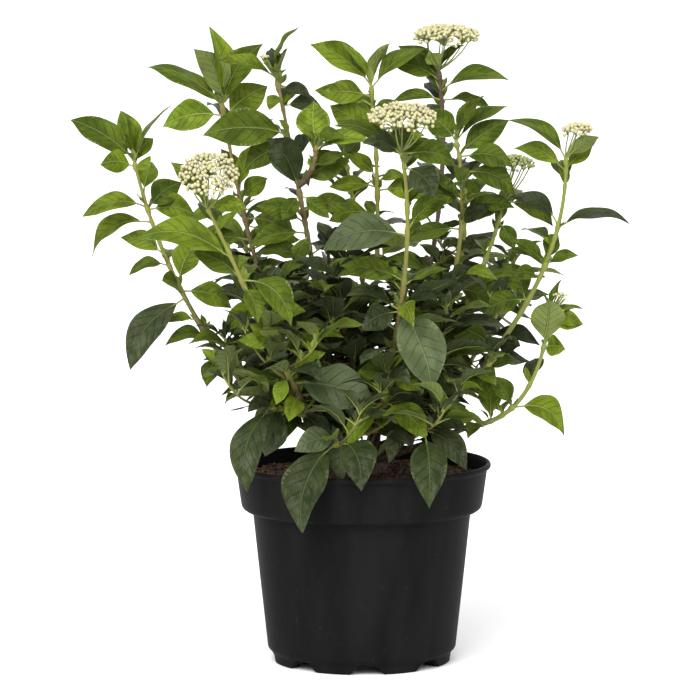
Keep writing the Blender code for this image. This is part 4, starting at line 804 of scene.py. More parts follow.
    def add_fine_twigs(self) -> None:
        """Finer side growths in the low crown, each with crossed pairs of leaves."""
        wild = Random(f"fine twigs {self.shoot.name}")
        count = round(FINE_TWIGS * self.shoot.fullness)
        for i in range(count):
            at = self.start + 0.06 + 0.8 * (i + wild.random()) / count
            foot = self.path.point(at)
            turn = wild.uniform(0, 360)
            if foot.z > LOW_CROWN:
                continue
            for step in range(5):
                way = turn + 72 * step
                long = wild.uniform(30, 58) * MM
                up = long * wild.uniform(0.25, 0.8)
                twig = side_path(foot, way, long, (0.42, 0.75), (up * 0.38, up))
                wide = (TWIG_RADIUS + LEAF_CLEARANCE, TWIG_RADIUS)
                if self.space.clear(*tube(twig, wide, 3, 4, 0.2, 1.0)):
                    solid = tube(twig, (TWIG_RADIUS, TWIG_RADIUS), 3, 4, 0.12, 1.0)
                    self.add_fine_pairs(twig, way, self.keep_twig(twig, at, solid), wild)
                    break

    def add_fine_pairs(self, twig: Path, turn: float, name: str, wild: Random) -> None:
        """The crossed pairs of leaves on one finer side growth."""
        for at, first, long in ((0.45, 90, 52), (0.75, 20, 47), (0.98, 90, 38), (0.98, 0, 25)):
            for side in (0, 180):
                leaf = Leaf(
                    at,
                    (turn + first + side + wild.uniform(-18, 18)) % 360,
                    8 + 26 * at + wild.uniform(-22, 16),
                    long * wild.uniform(0.8, 1.2),
                    wild.uniform(-40, 40),
                    LEAF_WIDTH_SHARE * wild.uniform(0.9, 1.15),
                    wild.uniform(0.08, 0.2),
                )
                self.try_leaf(leaf, twig.point(at), (name,))

    def add_fine_leaves(self) -> None:
        """More leaves between the first ones: all round low down, and to the back higher up."""
        wild = Random(f"fine leaves {self.shoot.name}")
        count = round(FINE_LEAVES * self.shoot.fullness)
        for i in range(count):
            at = self.start + 0.04 + (0.94 - self.start) * (i + wild.uniform(0, 0.6)) / count
            root = self.path.point(at)
            first = wild.uniform(0, 180)
            for turn in (first, first + 180, first + 90, first + 270):
                behind = 40 < turn % 360 < 140
                leaf = Leaf(
                    at,
                    turn % 360,
                    -16 + 50 * at + wild.uniform(-16, 16),
                    wild.uniform(38, 64) * (1.0 if root.z < LOW_CROWN else 0.75),
                    wild.uniform(-40, 40),
                    LEAF_WIDTH_SHARE * wild.uniform(0.85, 1.15),
                    wild.uniform(0.08, 0.2),
                )
                if root.z < LOW_CROWN or behind:
                    self.try_leaf(leaf, root, self.own_stem(at))

    def add_axil_leaves(self) -> None:
        """The small new leaves that open in the axils and at the tip of the shoot."""
        wild = Random(f"axils {self.shoot.name}")
        for spot in list(self.placed):
            if spot.leaf.length < 30 or wild.random() > 0.55:
                continue
            for spread in (-28, 26):
                self.add_small_leaf(
                    spot.root, spot.leaf.turn + spread, wild.uniform(38, 72),
                    wild.uniform(9, 19), wild,
                )
        if not self.shoot.head:
            tip = self.path.point(0.985)
            first = wild.uniform(0, 180)
            for turn in (first, first + 180, first + 90, first + 270):
                self.add_small_leaf(tip, turn, wild.uniform(60, 84), wild.uniform(12, 22), wild)

    def add_small_leaf(
        self, root: Vector, turn: float, rise: float, length: float, wild: Random
    ) -> None:
        """A small leaf, left out where it would touch anything of another mass."""
        leaf = Leaf(1.0, turn, rise, length, wild.uniform(-40, 40), 0.36, 0.06)
        if self.space.clear(*leaf_solid(root, leaf, LEAF_CLEARANCE), owner=self.shoot.name):
            self.placed.append(Placed(leaf, root))


class Plant:
    """The whole growth: the limbs in order, then every mass of leaves."""

    def __init__(self) -> None:
        """Grow the limbs and the masses by the rule that the solids follow."""
        self.space = Space()
        self.space.add_object(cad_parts["pot"])
        self.space.add_object(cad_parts["compost"])
        self.space.add("trunk", *self.trunk_solid())
        self.boughs = self.grow_boughs()
        limbs = dict(self.boughs)
        self.masses = [Mass(shoot, self.space, limbs) for shoot in SHOOTS]
        stages = (
            Mass.add_head, Mass.add_seen_leaves, Mass.add_twigs, Mass.add_rule_leaves,
            Mass.add_extra_leaves, Mass.add_fine_twigs, Mass.add_fine_leaves,
            Mass.add_axil_leaves,
        )
        for stage in stages:
            for mass in self.masses:
                stage(mass)

    def trunk_solid(self) -> Solid:
        """The plain solid of the trunk, flared at the compost and leaning to its fork."""
        foot = Vector((*TRUNK_FOOT, 0)) * MM
        foot.z = SOIL_HEIGHT + GAP
        top = Vector(TRUNK_TOP) * MM
        sides = 12
        levels = (
            (0.0, TRUNK_FLARE_RADIUS),
            (0.08, 0.84 * TRUNK_FLARE_RADIUS),
            (0.2, TRUNK_RADIUS * 1.08),
            (0.5, TRUNK_RADIUS),
            (0.85, 0.5 * (TRUNK_RADIUS + TRUNK_TOP_RADIUS)),
            (1.0, TRUNK_TOP_RADIUS),
        )
        points = []
        for share, radius in levels:
            for k in range(sides):
                angle = math.tau * k / sides
                lobed = radius * (1 + (0.12 * math.sin(5 * angle) if share == 0 else 0))
                points.append(
                    foot.lerp(top, share) + Vector((math.cos(angle), math.sin(angle), 0)) * lobed
                )
        return points, closed_faces(len(levels), sides)

    def grow_boughs(self) -> dict[str, Path]:
        """The bare limbs, each starting just clear of the trunk and of the others."""
        names = ["trunk"]
        paths = {}
        for bough in BOUGHS:
            path = Path(trunk_point(bough.foot_height), bough.middle, bough.end)
            start = self.space.clear_start(path, BOUGH_RADII, 6, names)
            self.space.add(bough.name, *tube(path, BOUGH_RADII, 6, 4, start))
            names.append(bough.name)
            paths[bough.name] = path
        return paths


Amount = Union["Sock", float]


class Sock:
    """A number from a shader node that takes part in ordinary arithmetic."""

    def __init__(self, tree: "Tree", end: NodeSocket) -> None:
        """Keep the output and the tree that it belongs to."""
        self.tree = tree
        self.end = end

    def maths(self, operation: str, *others: Amount) -> "Sock":
        """This number and the others put through one math node."""
        settings = {"operation": operation}
        return self.tree.add("ShaderNodeMath", settings, dict(enumerate((self, *others))))

    def swapped(self, operation: str, other: Amount) -> "Sock":
        """A math node with this number in second place."""
        return self.tree.add("ShaderNodeMath", {"operation": operation}, {0: other, 1: self})

    def __add__(self, other: Amount) -> "Sock":
        """Sum."""
        return self.maths("ADD", other)

    def __sub__(self, other: Amount) -> "Sock":
        """Difference."""
        return self.maths("SUBTRACT", other)

    def __mul__(self, other: Amount) -> "Sock":
        """Product."""
        return self.maths("MULTIPLY", other)

    def __truediv__(self, other: Amount) -> "Sock":
        """Quotient."""
        return self.maths("DIVIDE", other)

    def __rsub__(self, other: float) -> "Sock":
        """Difference from a plain number."""
        return self.swapped("SUBTRACT", other)

    def __rtruediv__(self, other: float) -> "Sock":
        """A plain number over this one."""
        return self.swapped("DIVIDE", other)

    __radd__ = __add__
    __rmul__ = __mul__

    def __abs__(self) -> "Sock":
        """Size without sign."""
        return self.maths("ABSOLUTE")

    def fract(self) -> "Sock":
        """What is left over the whole number."""
        return self.maths("FRACT")

    def floor(self) -> "Sock":
        """The whole number below."""
        return self.maths("FLOOR")

    def over(self, edge: float) -> "Sock":
        """One above the edge and nought below it."""
        return self.maths("GREATER_THAN", edge)

    def ease(self, start: Amount, end: Amount) -> "Sock":
        """A smooth step from nought at start to one at end."""
        return self.tree.add(
            "ShaderNodeMapRange",
            {"interpolation_type": "SMOOTHSTEP"},
            {"Value": self, "From Min": start, "From Max": end},
        )


class Tree:
    """The nodes of one material, round its Principled shader."""

    def __init__(self, name: str) -> None:
        """Start a material of the given name."""
        self.material = bpy.data.materials.new(name)
        self.material.use_nodes = True
        self.shader = self.material.node_tree.nodes["Principled BSDF"]

    def add(
        self, kind: str, settings: dict[str, Any] | None = None,
        inputs: dict[str | int, Any] | None = None, output: int = 0,
    ) -> Sock:
        """Make a node.

        Args:
            kind: The type of the node.
            settings: Its own settings, set first.
            inputs: A number, colour or socket for each named or counted input.
            output: Which output to hand back.

        Returns:
            The chosen output.
        """
        node = self.material.node_tree.nodes.new(kind)
        for key, value in (settings or {}).items():
            setattr(node, key, value)
        for key, value in (inputs or {}).items():
            self.put(node.inputs[key], value)
        return Sock(self, node.outputs[output])

    def put(self, socket: NodeSocket, value: Any) -> None:
        """Link a socket into an input, or set the plain value on it."""
        if isinstance(value, Sock):
            self.material.node_tree.links.new(value.end, socket)
        elif socket.type == "RGBA":
            socket.default_value = (*value, 1.0)
        else:
            socket.default_value = value

    def mix(self, share: Amount, low: Union[Sock, Colour], high: Union[Sock, Colour]) -> Sock:
        """Two colours mixed, all low at nought and all high at one."""
        return self.add("ShaderNodeMix", {"data_type": "RGBA"}, {0: share, 6: low, 7: high}, 2)

    def scaled(self, colour: Sock, factor: Amount) -> Sock:
        """A colour or vector times a number."""
        settings = {"operation": "SCALE"}
        return self.add("ShaderNodeVectorMath", settings, {0: colour, "Scale": factor})

    def split(self, vector: Sock) -> tuple[Sock, Sock, Sock]:
        """The three parts of a vector."""
        first = self.add("ShaderNodeSeparateXYZ", {}, {0: vector})
        ends = first.end.node.outputs
        return first, Sock(self, ends[1]), Sock(self, ends[2])

    def joined(self, x: Amount, y: Amount, z: Amount) -> Sock:
        """A vector from its three parts."""
        return self.add("ShaderNodeCombineXYZ", {}, {0: x, 1: y, 2: z})

    def place(self) -> Sock:
        """The point in the object's own space, in metres."""
        return self.add("ShaderNodeTexCoord", {}, {}, 3)

    def local(self) -> tuple[Sock, Sock, Sock, Sock]:
        """The place within a cell of the growth map, and the cell's column and row."""
        u, v, _ = self.split(self.add("ShaderNodeUVMap", {"uv_map": GROWTH_MAP}))
        u, v = u * CELLS, v * CELLS
        return u.fract(), v.fract(), u.floor(), v.floor()

    def noise(self, spot: Sock, scale: float, detail: float = 3.0, rough: float = 0.55) -> Sock:
        """Cloudy noise from nought to one."""
        inputs = {"Vector": spot, "Scale": scale, "Detail": detail, "Roughness": rough}
        return self.add("ShaderNodeTexNoise", {}, inputs)

    def net(self, spot: Sock, scale: float) -> Sock:
        """The distance to the nearest line of a net of cells."""
        inputs = {"Vector": spot, "Scale": scale}
        return self.add("ShaderNodeTexVoronoi", {"feature": "DISTANCE_TO_EDGE"}, inputs)

    def chance(self, spot: Sock) -> Sock:
        """One random number for each whole place."""
        return self.add("ShaderNodeTexWhiteNoise", {"noise_dimensions": "3D"}, {0: spot})

    def done(
        self, colour: Union[Sock, Colour], roughness: Amount, height: Sock | None = None,
        depth: float = 0.001, strength: float = 0.6, gloss: float = 0.5,
    ) -> Material:
        """Connect the finish.

        Args:
            colour: The base colour.
            roughness: The roughness.
            height: The relief, where there is one.
            depth: How deep the relief is, in metres.
            strength: How strongly the relief shows.
            gloss: The level of the plain reflection.

        Returns:
            The material.
        """
        self.put(self.shader.inputs["Base Color"], colour)
        self.put(self.shader.inputs["Roughness"], roughness)
        self.put(self.shader.inputs["Specular IOR Level"], gloss)
        if height is not None:
            inputs = {"Height": height, "Distance": depth, "Strength": strength}
            self.put(self.shader.inputs["Normal"], self.add("ShaderNodeBump", {}, inputs))
        return self.material


@dataclass(frozen=True)
class Finish:
    """What every finish of the plant and its pot has: a name, and the slot it belongs to."""

    name: str
    slot: str

    def build(self) -> Material:
        """The material; each kind of finish has its own."""
        raise NotImplementedError


@dataclass(frozen=True)
class LeafFinish(Finish):
    """Leather of a leaf: its upper side, veins and matt underside, with painted shade in its sunken
    veins and painted sheen in pale patches.
    """

    upper: Colour
    shade: Colour
    vein: Colour
    under: Colour
    rough: float = 0.44
    # How far the lateral veins darken: painted shade in their sunken lines
    painted_vein_shade: float = 0.22
    # Share of pale grey patches towards the tip: painted sheen
    dust_and_sheen: float = 0.0
    painted_sheen_colour: Colour = (0.11, 0.115, 0.086)

    def build(self) -> Material:
        """The material, drawn in each leaf's own outline."""
        tree = Tree(self.name)
        u, v, column, row = tree.local()
        x = (u - 0.5) / 0.46
        t = (v - 0.04) / 0.92
        side = abs(x)
        top = row.over(1.5)
        spot = tree.joined(x * 0.5, t * 1.2, (column + row * 4) * 3.7)
        broad = tree.noise(spot, 2.4)
        fine = tree.noise(spot, 15.0, 4.0)
        rib = side.ease(0.10 - t * 0.07, 0.02)
        phase = (t - side * 0.20 - side * side * 0.10) * 6.5 + x.over(0.0) * 0.35
        line = abs((phase + (broad - 0.5) * 0.5).fract() - 0.5)
        lateral = line.ease(0.42, 0.5) * side.ease(1.0, 0.5) * t.ease(1.0, 0.75)
        mesh = tree.net(spot, 12.0).ease(0.07, 0.0)
        upper = tree.mix(broad.ease(0.36, 0.64), self.shade, self.upper)
        upper = tree.mix(fine.ease(0.5, 0.8) * 0.35, upper, self.shade)
        # Lateral veins mixed towards the darker green: painted shade in their sunken lines
        upper = tree.mix(lateral * self.painted_vein_shade, upper, self.shade)
        # Pale grey patches towards the tip of the upper side: painted sheen
        dust_and_sheen_tint = tree.noise(spot, 6.0, 4.0).ease(0.44, 0.62) * t.ease(0.15, 0.85)
        upper = tree.mix(dust_and_sheen_tint * self.dust_and_sheen, upper, self.painted_sheen_colour)
        upper = tree.mix(rib * 0.72 + (fine * lateral) * 0.22, upper, self.vein)
        under = tree.mix(fine.ease(0.3, 0.8) * 0.4, self.under, self.upper)
        under = tree.mix(rib * 0.8 + lateral * 0.4 + mesh * 0.15, under, self.vein)
        chance = tree.chance(tree.joined(column, row, 0.5))
        colour = tree.scaled(tree.mix(top, under, upper), 0.60 + chance * 0.38)
        veins = rib * 0.8 + lateral * 0.5 + mesh * 0.12
        height = veins * (1.0 - top * 2.0) + broad * 0.9 + fine * 0.15
        roughness = self.rough + (1.0 - top) * 0.24 + (fine - 0.5) * 0.2
        return tree.done(colour, roughness, height, 0.0018, 0.9, 0.07)


@dataclass(frozen=True)
class StemFinish(Finish):
    """Skin of a young stem, ripening from its foot."""

    young: Colour
    ripe: Colour
    turning: float
    cork: Colour = (0.30, 0.24, 0.14)

    def build(self) -> Material:
        """The material, with fine streaks along the stem and small corky spots."""
        tree = Tree(self.name)
        u, v, column, row = tree.local()
        spot = tree.joined(u * 3.0, v * 9.0, column * 5.3 + row * 2.9)
        streak = tree.noise(tree.joined(u * 16.0, v * 5.0, column + row * 7.0), 1.0, 4.0)
        dots = tree.net(spot, 7.0).ease(0.10, 0.02)
        along = v + (streak - 0.5) * 0.5
        growth = along.ease(self.turning - 0.3, self.turning + 0.3)
        colour = tree.mix(growth, self.ripe, self.young)
        colour = tree.mix(streak.ease(0.5, 0.75) * 0.35, colour, self.ripe)
        colour = tree.mix(dots * 0.25, colour, self.cork)
        return tree.done(colour, 0.5 + streak * 0.2, streak + dots * 0.5, 0.0005, 0.5, 0.4)


@dataclass(frozen=True)
class BarkFinish(Finish):
    """Bark of the trunk and boughs."""

    name: str = "bark_of_limbs"
    slot: str = "old_bark"
    light: Colour = (0.14, 0.095, 0.054)
    dark: Colour = (0.045, 0.028, 0.017)
    algae: Colour = (0.10, 0.105, 0.05)

    def build(self) -> Material:
        """The material, with long fissures and greyish plates."""
        tree = Tree(self.name)
        place = tree.place()
        x, y, z = tree.split(place)
        long = tree.joined(x, y, z * 0.22)
        fissure = tree.noise(long, 420.0, 5.0, 0.65)
        cloud = tree.noise(place, 60.0, 3.0)
        plates = tree.net(long, 260.0).ease(0.12, 0.0)
        colour = tree.mix(fissure.ease(0.36, 0.62), self.dark, self.light)
        colour = tree.mix(cloud.ease(0.5, 0.75) * 0.45, colour, self.algae)
        colour = tree.mix(plates * 0.5, colour, self.dark)
        return tree.done(colour, 0.72 + cloud * 0.2, fissure - plates * 0.5, 0.0009, 0.8, 0.3)


@dataclass(frozen=True)
class BudFinish(Finish):
    """Closed flower buds: green at the foot, cream over the crown, with a rosy blush."""

    cream: Colour
    blush: Colour
    foot: Colour

    def build(self) -> Material:
        """The material, drawn along each bud from foot to tip."""
        tree = Tree(self.name)
        u, v, column, row = tree.local()
        cloud = tree.noise(tree.joined(u * 2.0, v * 2.0, column + row * 4.0), 2.0)
        chance = tree.chance(tree.joined(column, row, 2.5))
        colour = tree.mix((v + (cloud - 0.5) * 0.2).ease(0.16, 0.58), self.foot, self.cream)
        colour = tree.mix(cloud.ease(0.46, 0.72) * (0.25 + chance * 0.75), colour, self.blush)
        seams = abs((u * 5.0).fract() - 0.5).ease(0.44, 0.5) * v.ease(0.5, 0.95)
        return tree.done(colour, 0.5 + cloud * 0.15, cloud - seams, 0.0004, 0.5, 0.4)


@dataclass(frozen=True)
class PlasticFinish(Finish):
    """Black moulded plastic of the nursery pot."""

    name: str = "black_moulded_plastic"
    slot: str = "pot_plastic"
    black: Colour = (0.0060, 0.0060, 0.0061)
    worn: Colour = (0.0092, 0.0092, 0.0092)
    dust_and_sheen_tint: Colour = (0.07, 0.055, 0.045)

    def build(self) -> Material:
        """The material, with a fine grain, faint flow marks and a little dust."""
        tree = Tree(self.name)
        place = tree.place()
        x, y, z = tree.split(place)
        grain = tree.noise(place, 900.0, 3.0, 0.6)
        flow = tree.noise(tree.joined(x, y, z * 0.15), 38.0, 4.0)
        # On the pot these patches are dust only
        dust_and_sheen = tree.noise(place, 190.0, 5.0, 0.7).ease(0.60, 0.78)
        colour = tree.mix(flow.ease(0.35, 0.7), self.black, self.worn)
        colour = tree.mix(dust_and_sheen * 0.25, colour, self.dust_and_sheen_tint)
        roughness = 0.40 + grain * 0.12 + flow * 0.08 + dust_and_sheen * 0.12
        return tree.done(colour, roughness, grain * 0.5 + flow, 0.0003, 0.35, 0.02)


@dataclass(frozen=True)
class CompostFinish(Finish):
    """Moist peaty compost."""

    name: str = "peaty_compost"
    slot: str = "dark_compost"
    dark: Colour = (0.012, 0.007, 0.005)
    warm: Colour = (0.078, 0.036, 0.020)
    fibres: Colour = (0.11, 0.06, 0.035)

    def build(self) -> Material:
        """The material, clumped and fibrous."""
        tree = Tree(self.name)
        place = tree.place()
        clump = tree.noise(place, 210.0, 5.0, 0.7)
        fibre = tree.net(place, 330.0).ease(0.12, 0.0)
        colour = tree.mix(clump.ease(0.36, 0.68), self.dark, self.warm)
        colour = tree.mix(fibre * 0.3, colour, self.fibres)
        return tree.done(colour, 0.8 + clump * 0.18, clump + fibre * 0.3, 0.0016, 0.9, 0.25)


@dataclass(frozen=True)
class CrumbFinish(Finish):
    """Loose crumbs of compost, each of one shade."""

    name: str = "compost_crumbs"
    slot: str = "dark_compost"
    darkest: Colour = (0.020, 0.010, 0.007)
    lightest: Colour = (0.125, 0.060, 0.034)

    def build(self) -> Material:
        """The material, with a shade for each crumb."""
        tree = Tree(self.name)
        u, v, column, row = tree.local()
        cloud = tree.noise(tree.joined(u, v, column + row * 4.0), 5.0, 4.0)
        chance = tree.chance(tree.joined(column, row, 4.5))
        colour = tree.mix(chance, self.darkest, self.lightest)
        colour = tree.scaled(colour, 0.7 + cloud * 0.7)
        return tree.done(colour, 0.8 + cloud * 0.15, cloud, 0.0006, 0.8, 0.25)


@dataclass(frozen=True)
class FloorFinish:
    """The plain pale floor."""

    name: str = "pale_floor"
    pale: Colour = (0.86, 0.86, 0.86)
    paler: Colour = (0.87, 0.87, 0.87)

    def build(self) -> Material:
        """The material, very slightly uneven."""
        tree = Tree(self.name)
        cloud = tree.noise(tree.place(), 3.0)
        colour = tree.mix(cloud, self.pale, self.paler)
        return tree.done(colour, 0.9, gloss=0.1)


def array(vector: Sequence[float]) -> np.ndarray:
    """A vector as a row of numbers."""
    return np.array(tuple(vector), float)


class Patch:
    """Many small four-sided faces gathered into one mesh, each corner with its map place."""

    def __init__(self) -> None:
        """Start empty."""
        self.points: list[np.ndarray] = []
        self.quads: list[np.ndarray] = []
        self.coords: list[np.ndarray] = []
        self.count = 0

    def add(self, points: np.ndarray, quads: np.ndarray, coords: np.ndarray) -> None:
        """Add a part: its points, its faces and the map place of each face's corners."""
        self.points.append(points.reshape(-1, 3))
        self.quads.append(quads.reshape(-1, 4) + self.count)
        self.coords.append(coords.reshape(-1, 2))
        self.count += len(self.points[-1])

    def piece(self, name: str, finish: Finish, nodes: Iterable[str]) -> Object:
        """Make the object and hand it to the frame.

        Args:
            name: The name of the piece.
            finish: Its finish.
            nodes: The nodes of the frame that it takes the place of.

        Returns:
            The object.
        """
        quads = np.concatenate(self.quads)
        mesh = bpy.data.meshes.new(name)
        mesh.vertices.add(self.count)
        mesh.vertices.foreach_set("co", np.concatenate(self.points).astype(np.float32).ravel())
        mesh.loops.add(quads.size)
        mesh.loops.foreach_set("vertex_index", quads.astype(np.int32).ravel())
        mesh.polygons.add(len(quads))
        mesh.polygons.foreach_set("loop_start", np.arange(0, quads.size, 4, dtype=np.int32))
        mesh.update(calc_edges=True)
        mesh.polygons.foreach_set("use_smooth", np.ones(len(quads), bool))
        coords = np.concatenate(self.coords).astype(np.float32).ravel()
        for label in (GROWTH_MAP, BAKE_MAP):
            mesh.uv_layers.new(name=label).data.foreach_set("uv", coords)
        mesh.materials.append(finish.build())
        obj = bpy.data.objects.new(name, mesh)
        bpy.context.scene.collection.objects.link(obj)
        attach(obj, ROOT)
        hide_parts(*sorted(set(nodes)))
        log.info("%s: %d faces", name, len(quads))
        return obj


def grid_quads(rows: int, cols: int, flip: bool = False) -> np.ndarray:
    """The faces of a sheet of rows by cols cells, as corner numbers."""
    first = (np.arange(rows)[:, None] * (cols + 1) + np.arange(cols)[None, :]).reshape(-1, 1)
    ring = np.array([[0, 1, cols + 2, cols + 1]])
    quads = first + ring
    return quads[:, ::-1] if flip else quads


def ring_quads(rows: int, cols: int, flip: bool = False) -> tuple[np.ndarray, np.ndarray]:
    """The faces of a sheet, and the same faces with its last column laid on its first."""
    quads = grid_quads(rows, cols, flip)
    closed = quads.copy()
    closed[closed % (cols + 1) == cols] -= cols
    return quads, closed


def crossed(u: np.ndarray, v: np.ndarray) -> np.ndarray:
    """Every pair from two rows of numbers, the first row running faster."""
    return np.stack(np.meshgrid(u, v), axis=-1).reshape(-1, 2)


class Sweep:
    """Round limbs: a ring of points carried along a line."""

    def __init__(self, sides: int) -> None:
        """Set how many sides each limb has."""
        self.sides = sides

    def run(
        self, patch: Patch, line: np.ndarray, radii: np.ndarray, cell: tuple[int, int],
        relief: np.ndarray | None = None,
    ) -> None:
        """Add one limb to a patch.

        Args:
            patch: Where it goes.
            line: The points of its middle line.
            radii: Its radius at each of them.
            cell: The column and row of its cell in the growth map.
            relief: What to add to the radius at each ring and side.
        """
        count = len(line)
        heading = np.gradient(line, axis=0)
        heading /= np.linalg.norm(heading, axis=1)[:, None] + 1e-12
        side = np.cross(heading[0], (0.12, 1.0, 0.21))
        angles = math.tau * np.arange(self.sides + 1) / self.sides
        points = np.empty((count, self.sides + 1, 3))
        for i in range(count):
            side = side - heading[i] * np.dot(side, heading[i])
            side /= np.linalg.norm(side) + 1e-12
            other = np.cross(heading[i], side)
            ring = np.cos(angles)[:, None] * side + np.sin(angles)[:, None] * other
            wide = np.full(self.sides + 1, radii[i])
            if relief is not None:
                wide[:-1] += relief[i]
                wide[-1] = wide[0]
            points[i] = line[i] + ring * wide[:, None]
        u = np.arange(self.sides + 1) / self.sides
        v = np.linspace(0.0, 1.0, count)
        quads, closed = ring_quads(count - 1, self.sides)
        patch.add(points, closed, place_in_cell(crossed(u, v), cell)[quads])


def place_in_cell(local: np.ndarray, cell: tuple[int, int]) -> np.ndarray:
    """Map places in a cell of the growth map, from places between nought and one."""
    return (np.array(cell) + 0.04 + 0.92 * local) / CELLS


def any_cell(wild: Random) -> tuple[int, int]:
    """A cell of the growth map, drawn by chance."""
    return wild.randrange(CELLS), wild.randrange(CELLS)


def path_line(path: Path, count: int) -> np.ndarray:
    """Points spaced evenly along a whole path."""
    return np.array([tuple(path.point(s)) for s in np.linspace(0.0, 1.0, count)])


class Tone(Enum):
    """The green of a leaf, from its age; the deep green is partly painted shade and the greyish
    green painted sheen.
    """

    FRESH = LeafFinish(
        "leaf_fresh_green", "leaf_green", (0.155, 0.218, 0.015), (0.080, 0.120, 0.008),
        (0.26, 0.33, 0.075), (0.20, 0.25, 0.075),
    )
    MIDDLE = LeafFinish(
        "leaf_middle_green", "leaf_green", (0.086, 0.124, 0.010), (0.043, 0.068, 0.005),
        (0.17, 0.215, 0.060), (0.145, 0.185, 0.065),
    )
    # Dark green of old leaves; on low and inner sprays it is partly painted shade
    DEEP = LeafFinish(
        "leaf_deep_green", "old_leaf_green", (0.037, 0.050, 0.016), (0.018, 0.028, 0.007),
        (0.075, 0.098, 0.035), (0.080, 0.103, 0.044), 0.44, 0.10, 0.32,
    )
    # Greyish green standing in for the whitish sheen of glossy leaves: painted sheen
    GREYISH = LeafFinish(
        "leaf_greyish_green", "old_leaf_green", (0.092, 0.120, 0.052), (0.056, 0.076, 0.030),
        (0.140, 0.170, 0.075), (0.115, 0.145, 0.065), 0.38, 0.12, 0.2,
    )
    YOUNG = LeafFinish(
        "leaf_young_green", "young_leaf_green", (0.235, 0.335, 0.028), (0.150, 0.235, 0.018),
        (0.38, 0.46, 0.10), (0.30, 0.38, 0.09),
    )


# The green that a leaf may take in place of its spray's; after deep green comes the greyish green
# of painted sheen
NEXT_TONE = {
    Tone.YOUNG: Tone.FRESH,
    Tone.FRESH: Tone.MIDDLE,
    Tone.MIDDLE: Tone.DEEP,
    Tone.DEEP: Tone.GREYISH,
    Tone.GREYISH: Tone.DEEP,
}

# Single leaves whose green differs from that of their spray, by their number on it; the greyish
# green ones are painted sheen
LEAF_TONES = {
    ("leaves_left_outer", 13): Tone.DEEP,
    ("leaves_left_young", 4): Tone.GREYISH,
    ("leaves_left_flower", 2): Tone.FRESH,
    ("leaves_left_flower", 4): Tone.MIDDLE,
    ("leaves_right_outer", 5): Tone.DEEP,
    ("leaves_brown_tall", 7): Tone.MIDDLE,
    ("leaves_brown_tall", 9): Tone.DEEP,
    ("leaves_centre_flower", 4): Tone.GREYISH,
    ("leaves_centre_flower", 9): Tone.GREYISH,
    ("leaves_pot_left", 0): Tone.DEEP,
    ("leaves_pot_left", 1): Tone.GREYISH,
    ("leaves_pot_front", 0): Tone.DEEP,
    ("leaves_pot_front", 1): Tone.GREYISH,
    ("leaves_pot_right", 0): Tone.DEEP,
    ("leaves_low_right", 0): Tone.FRESH,
    ("leaves_front_low", 0): Tone.YOUNG,
    ("leaves_front_low", 1): Tone.FRESH,
}

# The sprays whose leaves aren't middle green, by the start of their names
SPRAY_TONES = {
    Tone.YOUNG: ("leaves_left_young",),
    Tone.FRESH: (
        "leaves_left_outer", "leaves_left_flower", "leaves_left_rear", "leaves_rear_tall",
        "leaves_right_green", "leaves_low_right", "leaves_front_low",
    ),
    # Inner and low sprays: deep green, partly for age and partly painted shade
    Tone.DEEP: (
        "leaves_core", "leaves_back_low", "leaves_left_low", "leaves_right_low", "leaves_pot",
    ),
}


def chosen(name: str, table: dict[Any, tuple[str, ...]], usual: Any) -> Any:
    """The option under which a table lists the start of a name, or else the usual one."""
    return next((option for option, starts in table.items() if name.startswith(starts)), usual)


